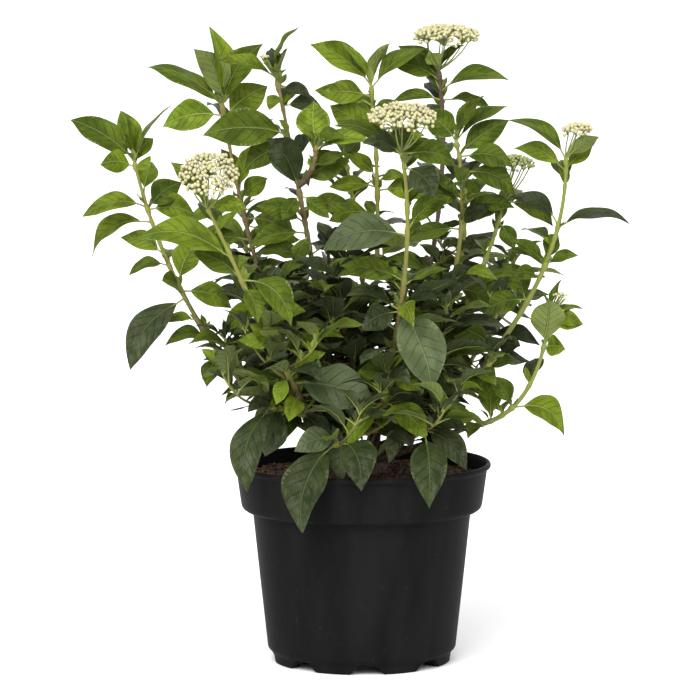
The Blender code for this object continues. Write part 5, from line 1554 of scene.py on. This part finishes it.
@dataclass(frozen=True)
class LeafShape:
    """The form of a blade: its outline, fold, curl and thickness."""

    places: tuple[float, ...] = (
        0.0, 0.05, 0.12, 0.22, 0.33, 0.43, 0.55, 0.67, 0.78, 0.87, 0.94, 1.0,
    )
    pointed: tuple[float, ...] = (
        0.05, 0.24, 0.50, 0.77, 0.94, 1.0, 0.95, 0.79, 0.56, 0.32, 0.13, 0.01,
    )
    oval: tuple[float, ...] = (
        0.05, 0.27, 0.51, 0.76, 0.92, 0.99, 1.0, 0.93, 0.76, 0.52, 0.28, 0.02,
    )
    thickness: float = 0.32 * MM
    stalk: float = 8.5 * MM
    stalk_radius: float = 0.95 * MM
    rib_radii: tuple[float, ...] = (1.25, 0.9, 0.85, 0.66, 0.5, 0.36, 0.22, 0.05)

    def foot(self, length: float) -> float:
        """The share of a leaf's length that is its stalk."""
        return min(0.17, max(0.09, self.stalk / max(length, 1e-6)))

    def spine(self, spot: Placed, share: np.ndarray, nod: float) -> np.ndarray:
        """The middle line of a leaf at the given shares of its length."""
        leaf = spot.leaf
        along, _, _, upper = (array(v) for v in leaf_frame(leaf))
        length = leaf.length * MM
        lift = 4 * share * (1 - share) * leaf.arch * length
        lift = lift - nod * length * np.clip(share - 0.62, 0, 1) ** 2 * 3.2
        return array(spot.root) + np.outer(share, along) * length + np.outer(lift, upper)

    def blade(
        self, spot: Placed, wild: Random, rows: int, cols: int, patch: Patch
    ) -> tuple[np.ndarray, np.ndarray]:
        """Add the two faces of one blade to a patch.

        Args:
            spot: The leaf and where it stands.
            wild: The source of its small differences.
            rows: How many rows of faces run along it.
            cols: How many run across it.
            patch: Where it goes.

        Returns:
            The shares of the blade's length at its rows, and its middle line there.
        """
        leaf = spot.leaf
        length = leaf.length * MM
        half = 0.5 * leaf.width * length
        _, across, face, _ = (array(v) for v in leaf_frame(leaf))
        t = np.linspace(0.0, 1.0, rows + 1) ** 1.05
        x = np.linspace(-1.0, 1.0, cols + 1)
        grid_t, grid_x = (g.reshape(-1) for g in np.meshgrid(t, x, indexing="ij"))
        foot = self.foot(length)
        nod = wild.uniform(-0.02, 0.10)
        spine = self.spine(spot, foot + (1 - foot) * grid_t, nod)
        bow = wild.uniform(-0.045, 0.045) * length * np.sin(math.pi * grid_t)
        sway = wild.uniform(0.004, 0.018) * length
        roll = np.sin(math.tau * (wild.uniform(0.9, 1.5) * grid_t + wild.random())) * grid_t
        spine = spine + np.outer(bow, across) + np.outer(sway * roll, face)
        round_tip = min(1.0, max(0.0, (leaf.length - 30) / 40)) * wild.random()
        shape = np.array(self.pointed) * (1 - round_tip) + np.array(self.oval) * round_tip
        wide = half * np.interp(grid_t, self.places, shape)
        fold = math.radians(wild.uniform(2, 34)) * (1 - 0.45 * grid_t)
        twist = math.radians(wild.uniform(-22, 22)) * (grid_t - 0.35)
        cos, sin = np.cos(twist)[:, None], np.sin(twist)[:, None]
        out = across * cos + face * sin
        lid = face * cos - across * sin
        turns = wild.uniform(1.2, 2.4)
        phase = wild.uniform(0, math.tau) + wild.uniform(0.8, 2.4) * (grid_x > 0)
        ripple = wild.uniform(0.04, 0.15) * half * np.sin(math.tau * turns * grid_t + phase)
        cup = wild.uniform(-0.22, 0.14) * half * grid_x**2 * np.sin(math.pi * grid_t)
        puff = 0.012 * length * np.sin(math.tau * 5.5 * (grid_t - 0.16 * abs(grid_x)))
        puff = puff * abs(grid_x) * (1 - abs(grid_x)) * 0.55
        rise = abs(grid_x) ** 1.25 * wide * np.sin(fold) + ripple * grid_x**2 + cup + puff
        reach = grid_x * wide * np.cos(fold)
        top = spine + out * reach[:, None] + lid * rise[:, None]
        thick = self.thickness * np.sqrt(np.clip(1 - grid_x**2, 0, 1))
        thick = thick * np.minimum(1, 12 * (1 - grid_t))
        low = top - lid * thick[:, None]
        local = np.stack([0.5 + 0.5 * grid_x * wide / half, grid_t], axis=-1)
        variant = wild.randrange(2 * CELLS)
        cell = (variant % CELLS, variant // CELLS)
        for points, row, flip in ((top, cell[1] + 2, True), (low, cell[1], False)):
            quads = grid_quads(rows, cols, flip)
            patch.add(points, quads, place_in_cell(local, (cell[0], row))[quads])
        return t, top.reshape(rows + 1, cols + 1, 3)[:, cols // 2]

    def rib(
        self, spot: Placed, middle: tuple[np.ndarray, np.ndarray], sweep: Sweep, patch: Patch,
        wild: Random,
    ) -> None:
        """Add the stalk, which runs on under the blade as its raised middle rib."""
        leaf = spot.leaf
        length = leaf.length * MM
        small = min(1.0, leaf.length / 45)
        _, _, face, _ = (array(v) for v in leaf_frame(leaf))
        foot = self.foot(length)
        share = np.array([0.0, 0.4 * foot, foot, 0.22, 0.38, 0.56, 0.74, 0.88])
        radii = self.stalk_radius * small * np.array(self.rib_radii)
        if leaf.length < SMALL_LEAF:
            share, radii = share[[0, 2, 4, 6]], radii[[0, 2, 4, 6]]
        along = np.clip((share - foot) / (1 - foot), 0, 1)
        line = np.stack([np.interp(along, middle[0], axis) for axis in middle[1].T], axis=-1)
        line = np.where((share > foot)[:, None], line, self.spine(spot, share, 0.0))
        under = np.clip((share - 0.5 * foot) / foot, 0, 1)
        line = line - face * (under * (self.thickness + 0.45 * radii))[:, None]
        sweep.run(patch, line, radii, any_cell(wild))


def tone_of(shoot: str, spot: Placed, wild: Random) -> Tone:
    """The green of one leaf, from the spray that it belongs to and a little chance."""
    if (shoot, spot.mark) in LEAF_TONES:
        return LEAF_TONES[shoot, spot.mark]
    tone = chosen(shoot, SPRAY_TONES, Tone.MIDDLE)
    # Larger leaves low in the crown are mostly deep green: partly age, partly painted shade
    if spot.mark < 0 and spot.leaf.length > SMALL_LEAF and spot.root.z < LOW_CROWN:
        return wild.choices((Tone.DEEP, Tone.MIDDLE, Tone.FRESH), (0.5, 0.38, 0.12))[0]
    if spot.leaf.length < SMALL_LEAF and tone in (Tone.FRESH, Tone.MIDDLE):
        return Tone.YOUNG if wild.random() < 0.45 else Tone.FRESH
    if wild.random() < 0.26:
        tone = NEXT_TONE[tone]
    elif tone is Tone.MIDDLE and spot.leaf.at > 0.9 and wild.random() < 0.5:
        tone = Tone.FRESH
    return tone


@dataclass
class Foliage:
    """All the leaves of the plant, sorted by their green."""

    plant: Plant
    shape: LeafShape = LeafShape()
    patches: dict[Tone, Patch] = field(default_factory=dict)
    nodes: dict[Tone, set[str]] = field(default_factory=dict)
    seen_grid: tuple[int, int] = (18, 8)
    plain_grid: tuple[int, int] = (12, 6)
    small_grid: tuple[int, int] = (8, 4)
    stalk: StemFinish = StemFinish(
        "leaf_stalk_skin", "leaf_green", (0.20, 0.255, 0.04), (0.24, 0.225, 0.04), 0.1
    )

    def build(self) -> list[Object]:
        """Make a piece of blades for each green, and one of stalks and ribs."""
        ribs = Patch()
        sweep, thin = Sweep(5), Sweep(3)
        for mass in self.plant.masses:
            name = mass.shoot.name
            wild = Random(f"blades {name}")
            for spot in mass.placed:
                tone = tone_of(name, spot, wild)
                patch = self.patches.setdefault(tone, Patch())
                self.nodes.setdefault(tone, set()).add(name)
                small = spot.leaf.length < SMALL_LEAF
                grid = self.small_grid if small else self.plain_grid
                if spot.mark >= 0:
                    grid = self.seen_grid
                middle = self.shape.blade(spot, wild, *grid, patch)
                self.shape.rib(spot, middle, thin if small else sweep, ribs, wild)
        pieces = []
        for tone, patch in self.patches.items():
            label = "blades_" + tone.name.lower()
            pieces.append(patch.piece(label, tone.value, self.nodes[tone]))
        names = [mass.shoot.name for mass in self.plant.masses]
        pieces.append(ribs.piece("leaf_stalks", self.stalk, names))
        return pieces


class Skin(Enum):
    """The skin of a shoot, which sets its colour."""

    GREEN = StemFinish(
        "green_shoot_skin", "leaf_green", (0.175, 0.187, 0.018), (0.100, 0.073, 0.022), 0.42
    )
    LIME = StemFinish(
        "lime_shoot_skin", "leaf_green", (0.158, 0.187, 0.018), (0.104, 0.108, 0.022), 0.15
    )
    BROWN = StemFinish(
        "brown_shoot_skin", "leaf_green", (0.146, 0.112, 0.025), (0.067, 0.040, 0.017), 0.55
    )
    PURPLE = StemFinish(
        "purple_shoot_skin", "leaf_green", (0.058, 0.028, 0.022), (0.050, 0.030, 0.018), 0.5
    )


# The shoots whose skin isn't plain green, by the start of their names
SHOOT_SKINS = {
    Skin.BROWN: ("leaves_brown", "leaves_left_rear", "leaves_core"),
    Skin.PURPLE: ("leaves_top_flower",),
    Skin.LIME: (
        "leaves_right_outer", "leaves_right_green", "leaves_low_right", "leaves_front_low",
    ),
}


@dataclass
class Shoots:
    """The stems of the masses and their side growths, with a swelling at each leaf."""

    plant: Plant
    radii: tuple[float, float] = (2.35 * MM, 1.35 * MM)
    swelling: float = 0.55 * MM
    rings: int = 64
    twig_rings: int = 16

    def stem(self, mass: Mass, sweep: Sweep, patch: Patch, wild: Random) -> None:
        """Add one stem with its nodes."""
        line = path_line(mass.path, self.rings)
        share = np.linspace(0, 1, self.rings)
        radii = self.radii[0] + (self.radii[1] - self.radii[0]) * share
        long = (mass.path.tip - mass.path.foot).length
        for spot in mass.placed:
            if spot.leaf.length > SMALL_LEAF:
                near = (share - min(0.985, max(spot.leaf.at, mass.start))) * long / (2.2 * MM)
                radii = np.maximum(radii, (radii + self.swelling * np.exp(-(near**2))))
        radii = np.minimum(radii, self.radii[0] + 1.2 * self.swelling)
        radii[-2:] *= (0.75, 0.15)
        sweep.run(patch, line, radii, any_cell(wild))

    def build(self) -> list[Object]:
        """Make a piece of stems for each skin."""
        patches: dict[Skin, Patch] = {}
        nodes: dict[Skin, set[str]] = {}
        sweep = Sweep(10)
        wild = Random("stems")
        for mass in self.plant.masses:
            skin = chosen(mass.shoot.name, SHOOT_SKINS, Skin.GREEN)
            patch = patches.setdefault(skin, Patch())
            nodes.setdefault(skin, set()).add(mass.shoot.name)
            self.stem(mass, sweep, patch, wild)
            for twig in mass.twigs:
                radii = np.linspace(1.25, 0.75, self.twig_rings) * MM
                radii[-1] = 0.1 * MM
                sweep.run(patch, path_line(twig, self.twig_rings), radii, any_cell(wild))
        return [
            patch.piece("stems_" + skin.name.lower(), skin.value, nodes[skin])
            for skin, patch in patches.items()
        ]


@dataclass
class Flowers:
    """The flat heads of round buds on branching stalks."""

    plant: Plant
    buds: Patch = field(default_factory=Patch)
    green_buds: Patch = field(default_factory=Patch)
    stalks: Patch = field(default_factory=Patch)
    nodes: set[str] = field(default_factory=set)
    rays: int = 7
    golden_turn: float = 2.39996
    cream_bud: float = 1.72 * MM
    green_bud: float = 1.5 * MM
    small_bud: float = 1.25 * MM
    small_count: int = 12
    ray_radii: tuple[float, float] = (0.85 * MM, 0.6 * MM)
    stalk_radii: tuple[float, float] = (0.42 * MM, 0.36 * MM)
    cream: BudFinish = BudFinish(
        "cream_bud_skin", "leaf_green", (0.455, 0.44, 0.242), (0.33, 0.22, 0.14),
        (0.165, 0.19, 0.04),
    )
    green: BudFinish = BudFinish(
        "green_bud_skin", "leaf_green", (0.27, 0.31, 0.11), (0.27, 0.24, 0.11),
        (0.16, 0.23, 0.06),
    )
    ray: StemFinish = StemFinish(
        "flower_stalk_skin", "leaf_green", (0.20, 0.24, 0.055), (0.14, 0.18, 0.04), 0.2
    )

    def bud(
        self, patch: Patch, middle: np.ndarray, heading: np.ndarray, size: float,
        wild: Random,
    ) -> None:
        """Add one bud: a round knob, narrow at its foot."""
        rings = np.array([-1.0, -0.86, -0.45, 0.1, 0.6, 0.9, 1.0])
        wide = np.array([0.10, 0.42, 0.84, 1.0, 0.80, 0.42, 0.03])
        cell = any_cell(wild)
        line = middle + np.outer(rings, heading) * size * 1.08
        Sweep(8).run(patch, line, wide * size, cell)

    def head(
        self, tip: Vector, head: Head, count: int, size: float, green: bool, wild: Random
    ) -> None:
        """Add a whole head: rays from the stem's tip, and buds over a low dome.

        Args:
            tip: The tip of the stem.
            head: The place and size of the head.
            count: How many buds it has.
            size: The radius of a bud.
            green: Whether the buds are still green.
            wild: The source of its small differences.
        """
        up, side, front = (array(v) for v in head_frame(head))
        centre = array(head.centre) * MM
        radius, height = head.radius * MM, head.height * MM
        foot = array(tip)
        hubs = [centre - up * 0.28 * height]
        for k in range(self.rays):
            angle = math.tau * (k + wild.uniform(-0.12, 0.12)) / self.rays
            out = side * math.cos(angle) + front * math.sin(angle)
            hubs.append(centre + out * radius * 0.60 - up * height * wild.uniform(0.30, 0.42))
        for hub in hubs:
            bend = foot * 0.5 + hub * 0.5 + (hub - centre) * 0.12
            self.stalk(foot, bend, hub, self.ray_radii, wild)
        patch = self.green_buds if green else self.buds
        for i in range(count):
            r = math.sqrt((i + 0.5) / count) * 0.95
            angle = i * self.golden_turn + wild.uniform(-0.1, 0.1)
            out = side * math.cos(angle) + front * math.sin(angle)
            level = 0.36 * (1 - r * r) ** 0.8 - 0.02 + wild.uniform(-0.06, 0.06)
            if i % 2:
                level -= wild.uniform(0.06, 0.34)
            middle = centre + out * r * radius + up * level * height
            hub = min(hubs, key=lambda h: float(np.linalg.norm(h - middle)))
            near = float(np.linalg.norm(hub - middle)) / radius
            middle = middle + up * height * 0.42 * (0.3 - near)
            middle = middle - (middle - hub - up * float(np.dot(middle - hub, up))) * 0.08
            heading = middle - hub + up * 0.25 * radius
            heading /= np.linalg.norm(heading)
            grown = size * wild.uniform(0.80, 1.14)
            bend = (hub + middle) / 2 + up * 0.03 * height
            self.stalk(hub, bend, middle - heading * grown, self.stalk_radii, wild)
            self.bud(patch, middle, heading, grown, wild)

    def stalk(
        self, foot: np.ndarray, bend: np.ndarray, end: np.ndarray, radii: tuple[float, float],
        wild: Random,
    ) -> None:
        """Add one thin curved stalk."""
        line = path_line(Path(foot / MM, bend / MM, end / MM), 5)
        Sweep(5).run(self.stalks, line, np.linspace(*radii, 5), any_cell(wild))

    def build(self) -> list[Object]:
        """Make the pieces: cream buds, green buds and stalks."""
        for mass in self.plant.masses:
            wild = Random(f"flowers {mass.shoot.name}")
            if mass.shoot.head:
                head = mass.shoot.head
                green = mass.shoot.name in GREEN_HEADS
                count = int(0.26 * head.radius**2) + 18
                size = self.green_bud if green else self.cream_bud
                self.head(mass.path.point(0.99), head, count, size, green, wild)
                self.nodes.add(mass.shoot.name)
            if mass.shoot.small_head:
                tip, head = mass.path.point(0.99), mass.shoot.small_head
                self.head(tip, head, self.small_count, self.small_bud, False, wild)
                self.nodes.add(mass.shoot.name)
        return [
            self.buds.piece("buds_cream", self.cream, self.nodes),
            self.green_buds.piece("buds_green", self.green, GREEN_HEADS),
            self.stalks.piece("flower_stalks", self.ray, self.nodes),
        ]


@dataclass
class Limbs:
    """The trunk and boughs with the relief of their bark."""

    plant: Plant
    sides: int = 22
    trunk_rings: int = 44
    bough_rings: int = 56
    finish: BarkFinish = BarkFinish()

    def relief(self, rings: int, seed: int, depth: float) -> np.ndarray:
        """Furrows along a limb of so many rings, crossed by fine scales."""
        rows = []
        for i in range(rings):
            row = []
            for k in range(self.sides):
                angle = math.tau * k / self.sides
                wave = math.sin(5 * angle + seed + 0.35 * math.sin(i * 0.21))
                spot = Vector((math.cos(angle) * 1.6, math.sin(angle) * 1.6, i * 0.16 + seed))
                rough = noise.fractal(spot, 0.7, 2.1, 4)
                row.append(depth * (0.28 * wave + 0.9 * rough))
            rows.append(row)
        return np.array(rows)

    def build(self) -> list[Object]:
        """Make one piece of the trunk and all the boughs."""
        patch = Patch()
        sweep = Sweep(self.sides)
        foot = array((*TRUNK_FOOT, 0)) * MM
        foot[2] = SOIL_HEIGHT - 1.5 * MM
        top = array(TRUNK_TOP) * MM
        share = np.linspace(0, 1, self.trunk_rings)
        line = foot + np.outer(share, top - foot)
        radii = np.interp(
            share, (0, 0.05, 0.12, 0.25, 0.55, 0.9, 1.0),
            np.array((10.2, 8.9, 7.6, 6.7, 6.2, 5.3, 4.8)) * MM,
        )
        angles = math.tau * np.arange(self.sides) / self.sides
        flare = 1.3 * MM * np.exp(-share / 0.07)[:, None] * np.sin(5 * angles)[None, :]
        radii[-2:] *= (0.8, 0.1)
        relief = self.relief(self.trunk_rings, 3, 0.42 * MM) + flare
        relief[-1] = 0
        sweep.run(patch, line, radii, (0, 0), relief)
        for i, path in enumerate(self.plant.boughs.values()):
            radii = np.linspace(3.45, 2.45, self.bough_rings) * MM
            radii[-3:] *= (0.97, 0.8, 0.1)
            relief = self.relief(self.bough_rings, 11 + 7 * i, 0.22 * MM)
            relief[-1] = 0
            cell = ((i + 1) % CELLS, (i + 1) // CELLS)
            sweep.run(patch, path_line(path, self.bough_rings), radii, cell, relief)
        return [patch.piece("limbs_with_bark", self.finish, ["trunk", *self.plant.boughs])]


@dataclass
class NurseryPot:
    """The moulded pot, turned finely, with its rolled lip, collar and notched foot."""

    steps: int = 288
    notches: int = 8
    notch_turn: float = 273.4
    notch_foot: float = 14.3 * MM
    notch_top: float = 7.0 * MM
    notch_height: float = 8.0 * MM
    finish: PlasticFinish = PlasticFinish()

    def profile(self) -> list[tuple[float, float]]:
        """Radius and height in mm, from the inside of the floor out and round to the boss."""
        return [
            (0.5, 10.8), (40.0, 10.8), (78.0, 10.8), (80.6, 12.6), (93.4, 132.4), (94.6, 133.0),
            (99.0, 134.2), (103.3, 138.6), (103.9, 139.6), (107.6, 167.6), (108.3, 170.6),
            (108.9, 173.4), (109.4, 174.2), (110.2, 174.5), (111.0, 174.45), (111.8, 174.0),
            (112.3, 173.2), (112.5, 172.2), (112.45, 171.2), (112.0, 170.3), (111.2, 169.6),
            (110.1, 169.2), (109.5, 168.8), (109.2, 168.0), (109.1, 166.8), (107.0, 151.5),
            (106.9, 150.6), (105.3, 139.6), (105.1, 138.4), (104.6, 136.4), (103.6, 134.7),
            (101.6, 133.3), (98.4, 132.3), (96.2, 132.1), (95.2, 131.6), (94.95, 130.6),
            (91.9, 102.0), (88.8, 73.0), (85.6, 44.0), (82.5, 15.4), (82.2, 12.8), (81.4, 11.2),
            (79.6, 9.4), (79.0, 8.4), (78.3, 7.2), (77.9, 6.2), (77.6, 3.4), (77.4, 0.8),
            (76.9, 0.0), (71.4, 0.0), (71.0, 0.6), (70.6, 4.6), (70.2, 9.2), (45.0, 9.2),
            (19.2, 9.2), (18.6, 8.6), (18.1, 0.6), (17.6, 0.0), (9.0, 0.0), (0.5, 0.0),
        ]

    def build(self) -> list[Object]:
        """Turn the profile and raise the foot at each notch."""
        profile = np.array(self.profile()) * MM
        turns = np.arange(self.steps + 1) / self.steps
        angles = math.tau * turns
        radius = profile[:, 0][:, None] * np.ones(self.steps + 1)
        height = profile[:, 1][:, None] * np.ones(self.steps + 1)
        pitch = math.tau / self.notches
        off = (angles - math.radians(self.notch_turn) + pitch / 2) % pitch - pitch / 2
        wide = np.abs(off) * 74 * MM
        ramp = (self.notch_foot - wide) / (self.notch_foot - self.notch_top)
        cut = np.clip(ramp, 0, 1) * self.notch_height
        ring = (radius > 70 * MM) & (height < 8.1 * MM)
        height = np.where(ring, np.maximum(height, cut[None, :]), height)
        points = np.stack([radius * np.cos(angles), radius * np.sin(angles), height], axis=-1)
        quads, closed = ring_quads(len(profile) - 1, self.steps, True)
        steps = np.linalg.norm(np.diff(profile, axis=0), axis=1)
        down = np.concatenate([[0], np.cumsum(steps)])
        patch = Patch()
        patch.add(points, closed, (0.01 + 0.98 * crossed(turns, down / down[-1]))[quads])
        return [patch.piece("moulded_pot", self.finish, ["pot"])]


@dataclass
class Compost:
    """The compost's uneven top and the loose crumbs on it."""

    radius: float = 107.0 * MM
    skirt_radius: float = 104.4 * MM
    skirt_depth: float = 22 * MM
    rings: int = 46
    sides: int = 150
    crumbs: int = 1100

    def level(self, x: float, y: float) -> float:
        """The height of the surface at a place."""
        far = math.hypot(x, y) / self.radius
        base = SOIL_HEIGHT - 2.6 * MM * far**1.6 - 0.9 * MM
        near = math.hypot(x - TRUNK_FOOT[0] * MM, y - TRUNK_FOOT[1] * MM)
        rough = noise.fractal(Vector((x, y, 0.0)) * 95, 0.9, 2.1, 5)
        return base + 1.5 * MM * rough * min(1.0, near / (14 * MM) + 0.25)

    def bed(self) -> Object:
        """The surface, with a skirt that goes down inside the pot."""
        patch = Patch()
        rows = []
        coords = []
        for i in range(self.rings + 2):
            share = min(1.0, i / self.rings)
            row = []
            for k in range(self.sides + 1):
                angle = math.tau * (k % self.sides) / self.sides
                r = self.radius * max(share, 0.004)
                x, y = r * math.cos(angle), r * math.sin(angle)
                z = self.level(x, y) if i <= self.rings else SOIL_HEIGHT - self.skirt_depth
                r = r if i <= self.rings else self.skirt_radius
                row.append((r * math.cos(angle), r * math.sin(angle), z))
                far = 0.5 * share * (0.94 if i <= self.rings else 0.99)
                coords.append((0.5 + far * math.cos(angle), 0.5 + far * math.sin(angle)))
            rows.append(row)
        quads, closed = ring_quads(self.rings + 1, self.sides)
        patch.add(np.array(rows), closed, np.array(coords)[quads])
        return patch.piece("compost_bed", CompostFinish(), ["compost"])

    def loose(self) -> Object:
        """The crumbs, each a small knobbly lump."""
        patch = Patch()
        wild = Random("crumbs")
        quads, closed = ring_quads(4, 6)
        both = crossed(np.arange(7) / 6, np.linspace(0.02, 0.98, 5))
        polar = math.pi * both[:, 1]
        turn = math.tau * both[:, 0]
        ball = np.stack(
            [np.sin(polar) * np.cos(turn), np.sin(polar) * np.sin(turn), -np.cos(polar)], axis=-1
        )
        for _ in range(self.crumbs):
            angle = wild.uniform(0, math.tau)
            r = self.radius * 0.975 * math.sqrt(wild.random())
            x, y = r * math.cos(angle), r * math.sin(angle)
            size = wild.uniform(0.7, 2.1) ** 1.15 * MM
            knobs = np.array([wild.uniform(0.72, 1.25) for _ in range(len(ball))])
            knobs[6::7] = knobs[0::7]
            knobs[:7] = knobs[0]
            knobs[-7:] = knobs[-1]
            shape = np.array((wild.uniform(0.7, 1.5), wild.uniform(0.7, 1.2), 0.75)) * size
            points = ball * knobs[:, None] * shape
            spin = wild.uniform(0, math.tau)
            cos, sin = math.cos(spin), math.sin(spin)
            points = points @ np.array(((cos, sin, 0), (-sin, cos, 0), (0, 0, 1)))
            points += (x, y, self.level(x, y) + 0.3 * size)
            patch.add(points, closed, place_in_cell(both, any_cell(wild))[quads])
        return patch.piece("compost_loose", CrumbFinish(), ["compost"])

    def build(self) -> list[Object]:
        """Make the surface and the crumbs."""
        return [self.bed(), self.loose()]


@dataclass(frozen=True)
class Lamp:
    """A broad even light: where it shines from, how wide it is in degrees, and its power."""

    name: str
    place: Point
    spread: float
    power: float

    def build(self, aim: Vector) -> None:
        """Put up the light and turn it to the plant."""
        data = bpy.data.lights.new(self.name, "SUN")
        data.angle = math.radians(self.spread)
        data.energy = self.power
        obj = bpy.data.objects.new(self.name, data)
        obj.location = self.place
        obj.rotation_euler = (aim - Vector(self.place)).to_track_quat("-Z", "Y").to_euler()
        bpy.context.scene.collection.objects.link(obj)


@dataclass(frozen=True)
class Studio:
    """A pale floor, soft lights all round and the camera of the photograph."""

    camera_place: Point = (0.0, -3.6, 0.678)
    pitch: float = 6.406
    lens: float = 215.7
    sensor: float = 36.0
    shift_x: float = -0.0198
    floor_side: float = 25.0
    world: Colour = (1.0, 1.0, 1.0)
    aim: Point = (0.0, 0.0, 0.28)
    lamps: tuple[Lamp, ...] = (
        Lamp("front_left_light", (-1.0, -2.4, 2.6), 42.0, 3.3),
        Lamp("front_right_light", (1.4, -2.6, 1.8), 60.0, 1.0),
        Lamp("rear_light", (0.5, 2.8, 2.0), 60.0, 0.6),
    )

    def build(self) -> None:
        """Make the floor, the surroundings, the lights and the camera."""
        scene = bpy.context.scene
        floor = bpy.data.meshes.new("floor")
        side = self.floor_side
        corners = [(-side, -side, 0), (side, -side, 0), (side, side, 0), (-side, side, 0)]
        floor.from_pydata(corners, [], [(0, 1, 2, 3)])
        floor.materials.append(FloorFinish().build())
        obj = bpy.data.objects.new("floor", floor)
        scene.collection.objects.link(obj)
        world = bpy.data.worlds.new("pale_surround")
        world.use_nodes = True
        back = world.node_tree.nodes["Background"]
        back.inputs["Color"].default_value = (*self.world, 1.0)
        back.inputs["Strength"].default_value = 1.0
        scene.world = world
        for lamp in self.lamps:
            lamp.build(Vector(self.aim))
        data = bpy.data.cameras.new("photo_view")
        data.lens = self.lens
        data.sensor_width = self.sensor
        data.shift_x = self.shift_x
        camera = bpy.data.objects.new("photo_view", data)
        camera.location = self.camera_place
        camera.rotation_euler = (math.radians(90 - self.pitch), 0, 0)
        scene.collection.objects.link(camera)
        scene.camera = camera
        scene.view_settings.view_transform = "Standard"


def main() -> None:
    """Grow the plant, dress each part of it and set the studio."""
    logging.basicConfig(level=logging.INFO, format="%(message)s")
    plant = Plant()
    count = sum(len(mass.placed) for mass in plant.masses)
    log.info("leaves placed: %d", count)
    parts = (
        NurseryPot(), Compost(), Limbs(plant), Shoots(plant), Foliage(plant), Flowers(plant),
    )
    for part in parts:
        for piece in part.build():
            log.info("%s: %s", type(part).__name__, piece.name)
    Studio().build()


if __name__ == "__main__":
    main()
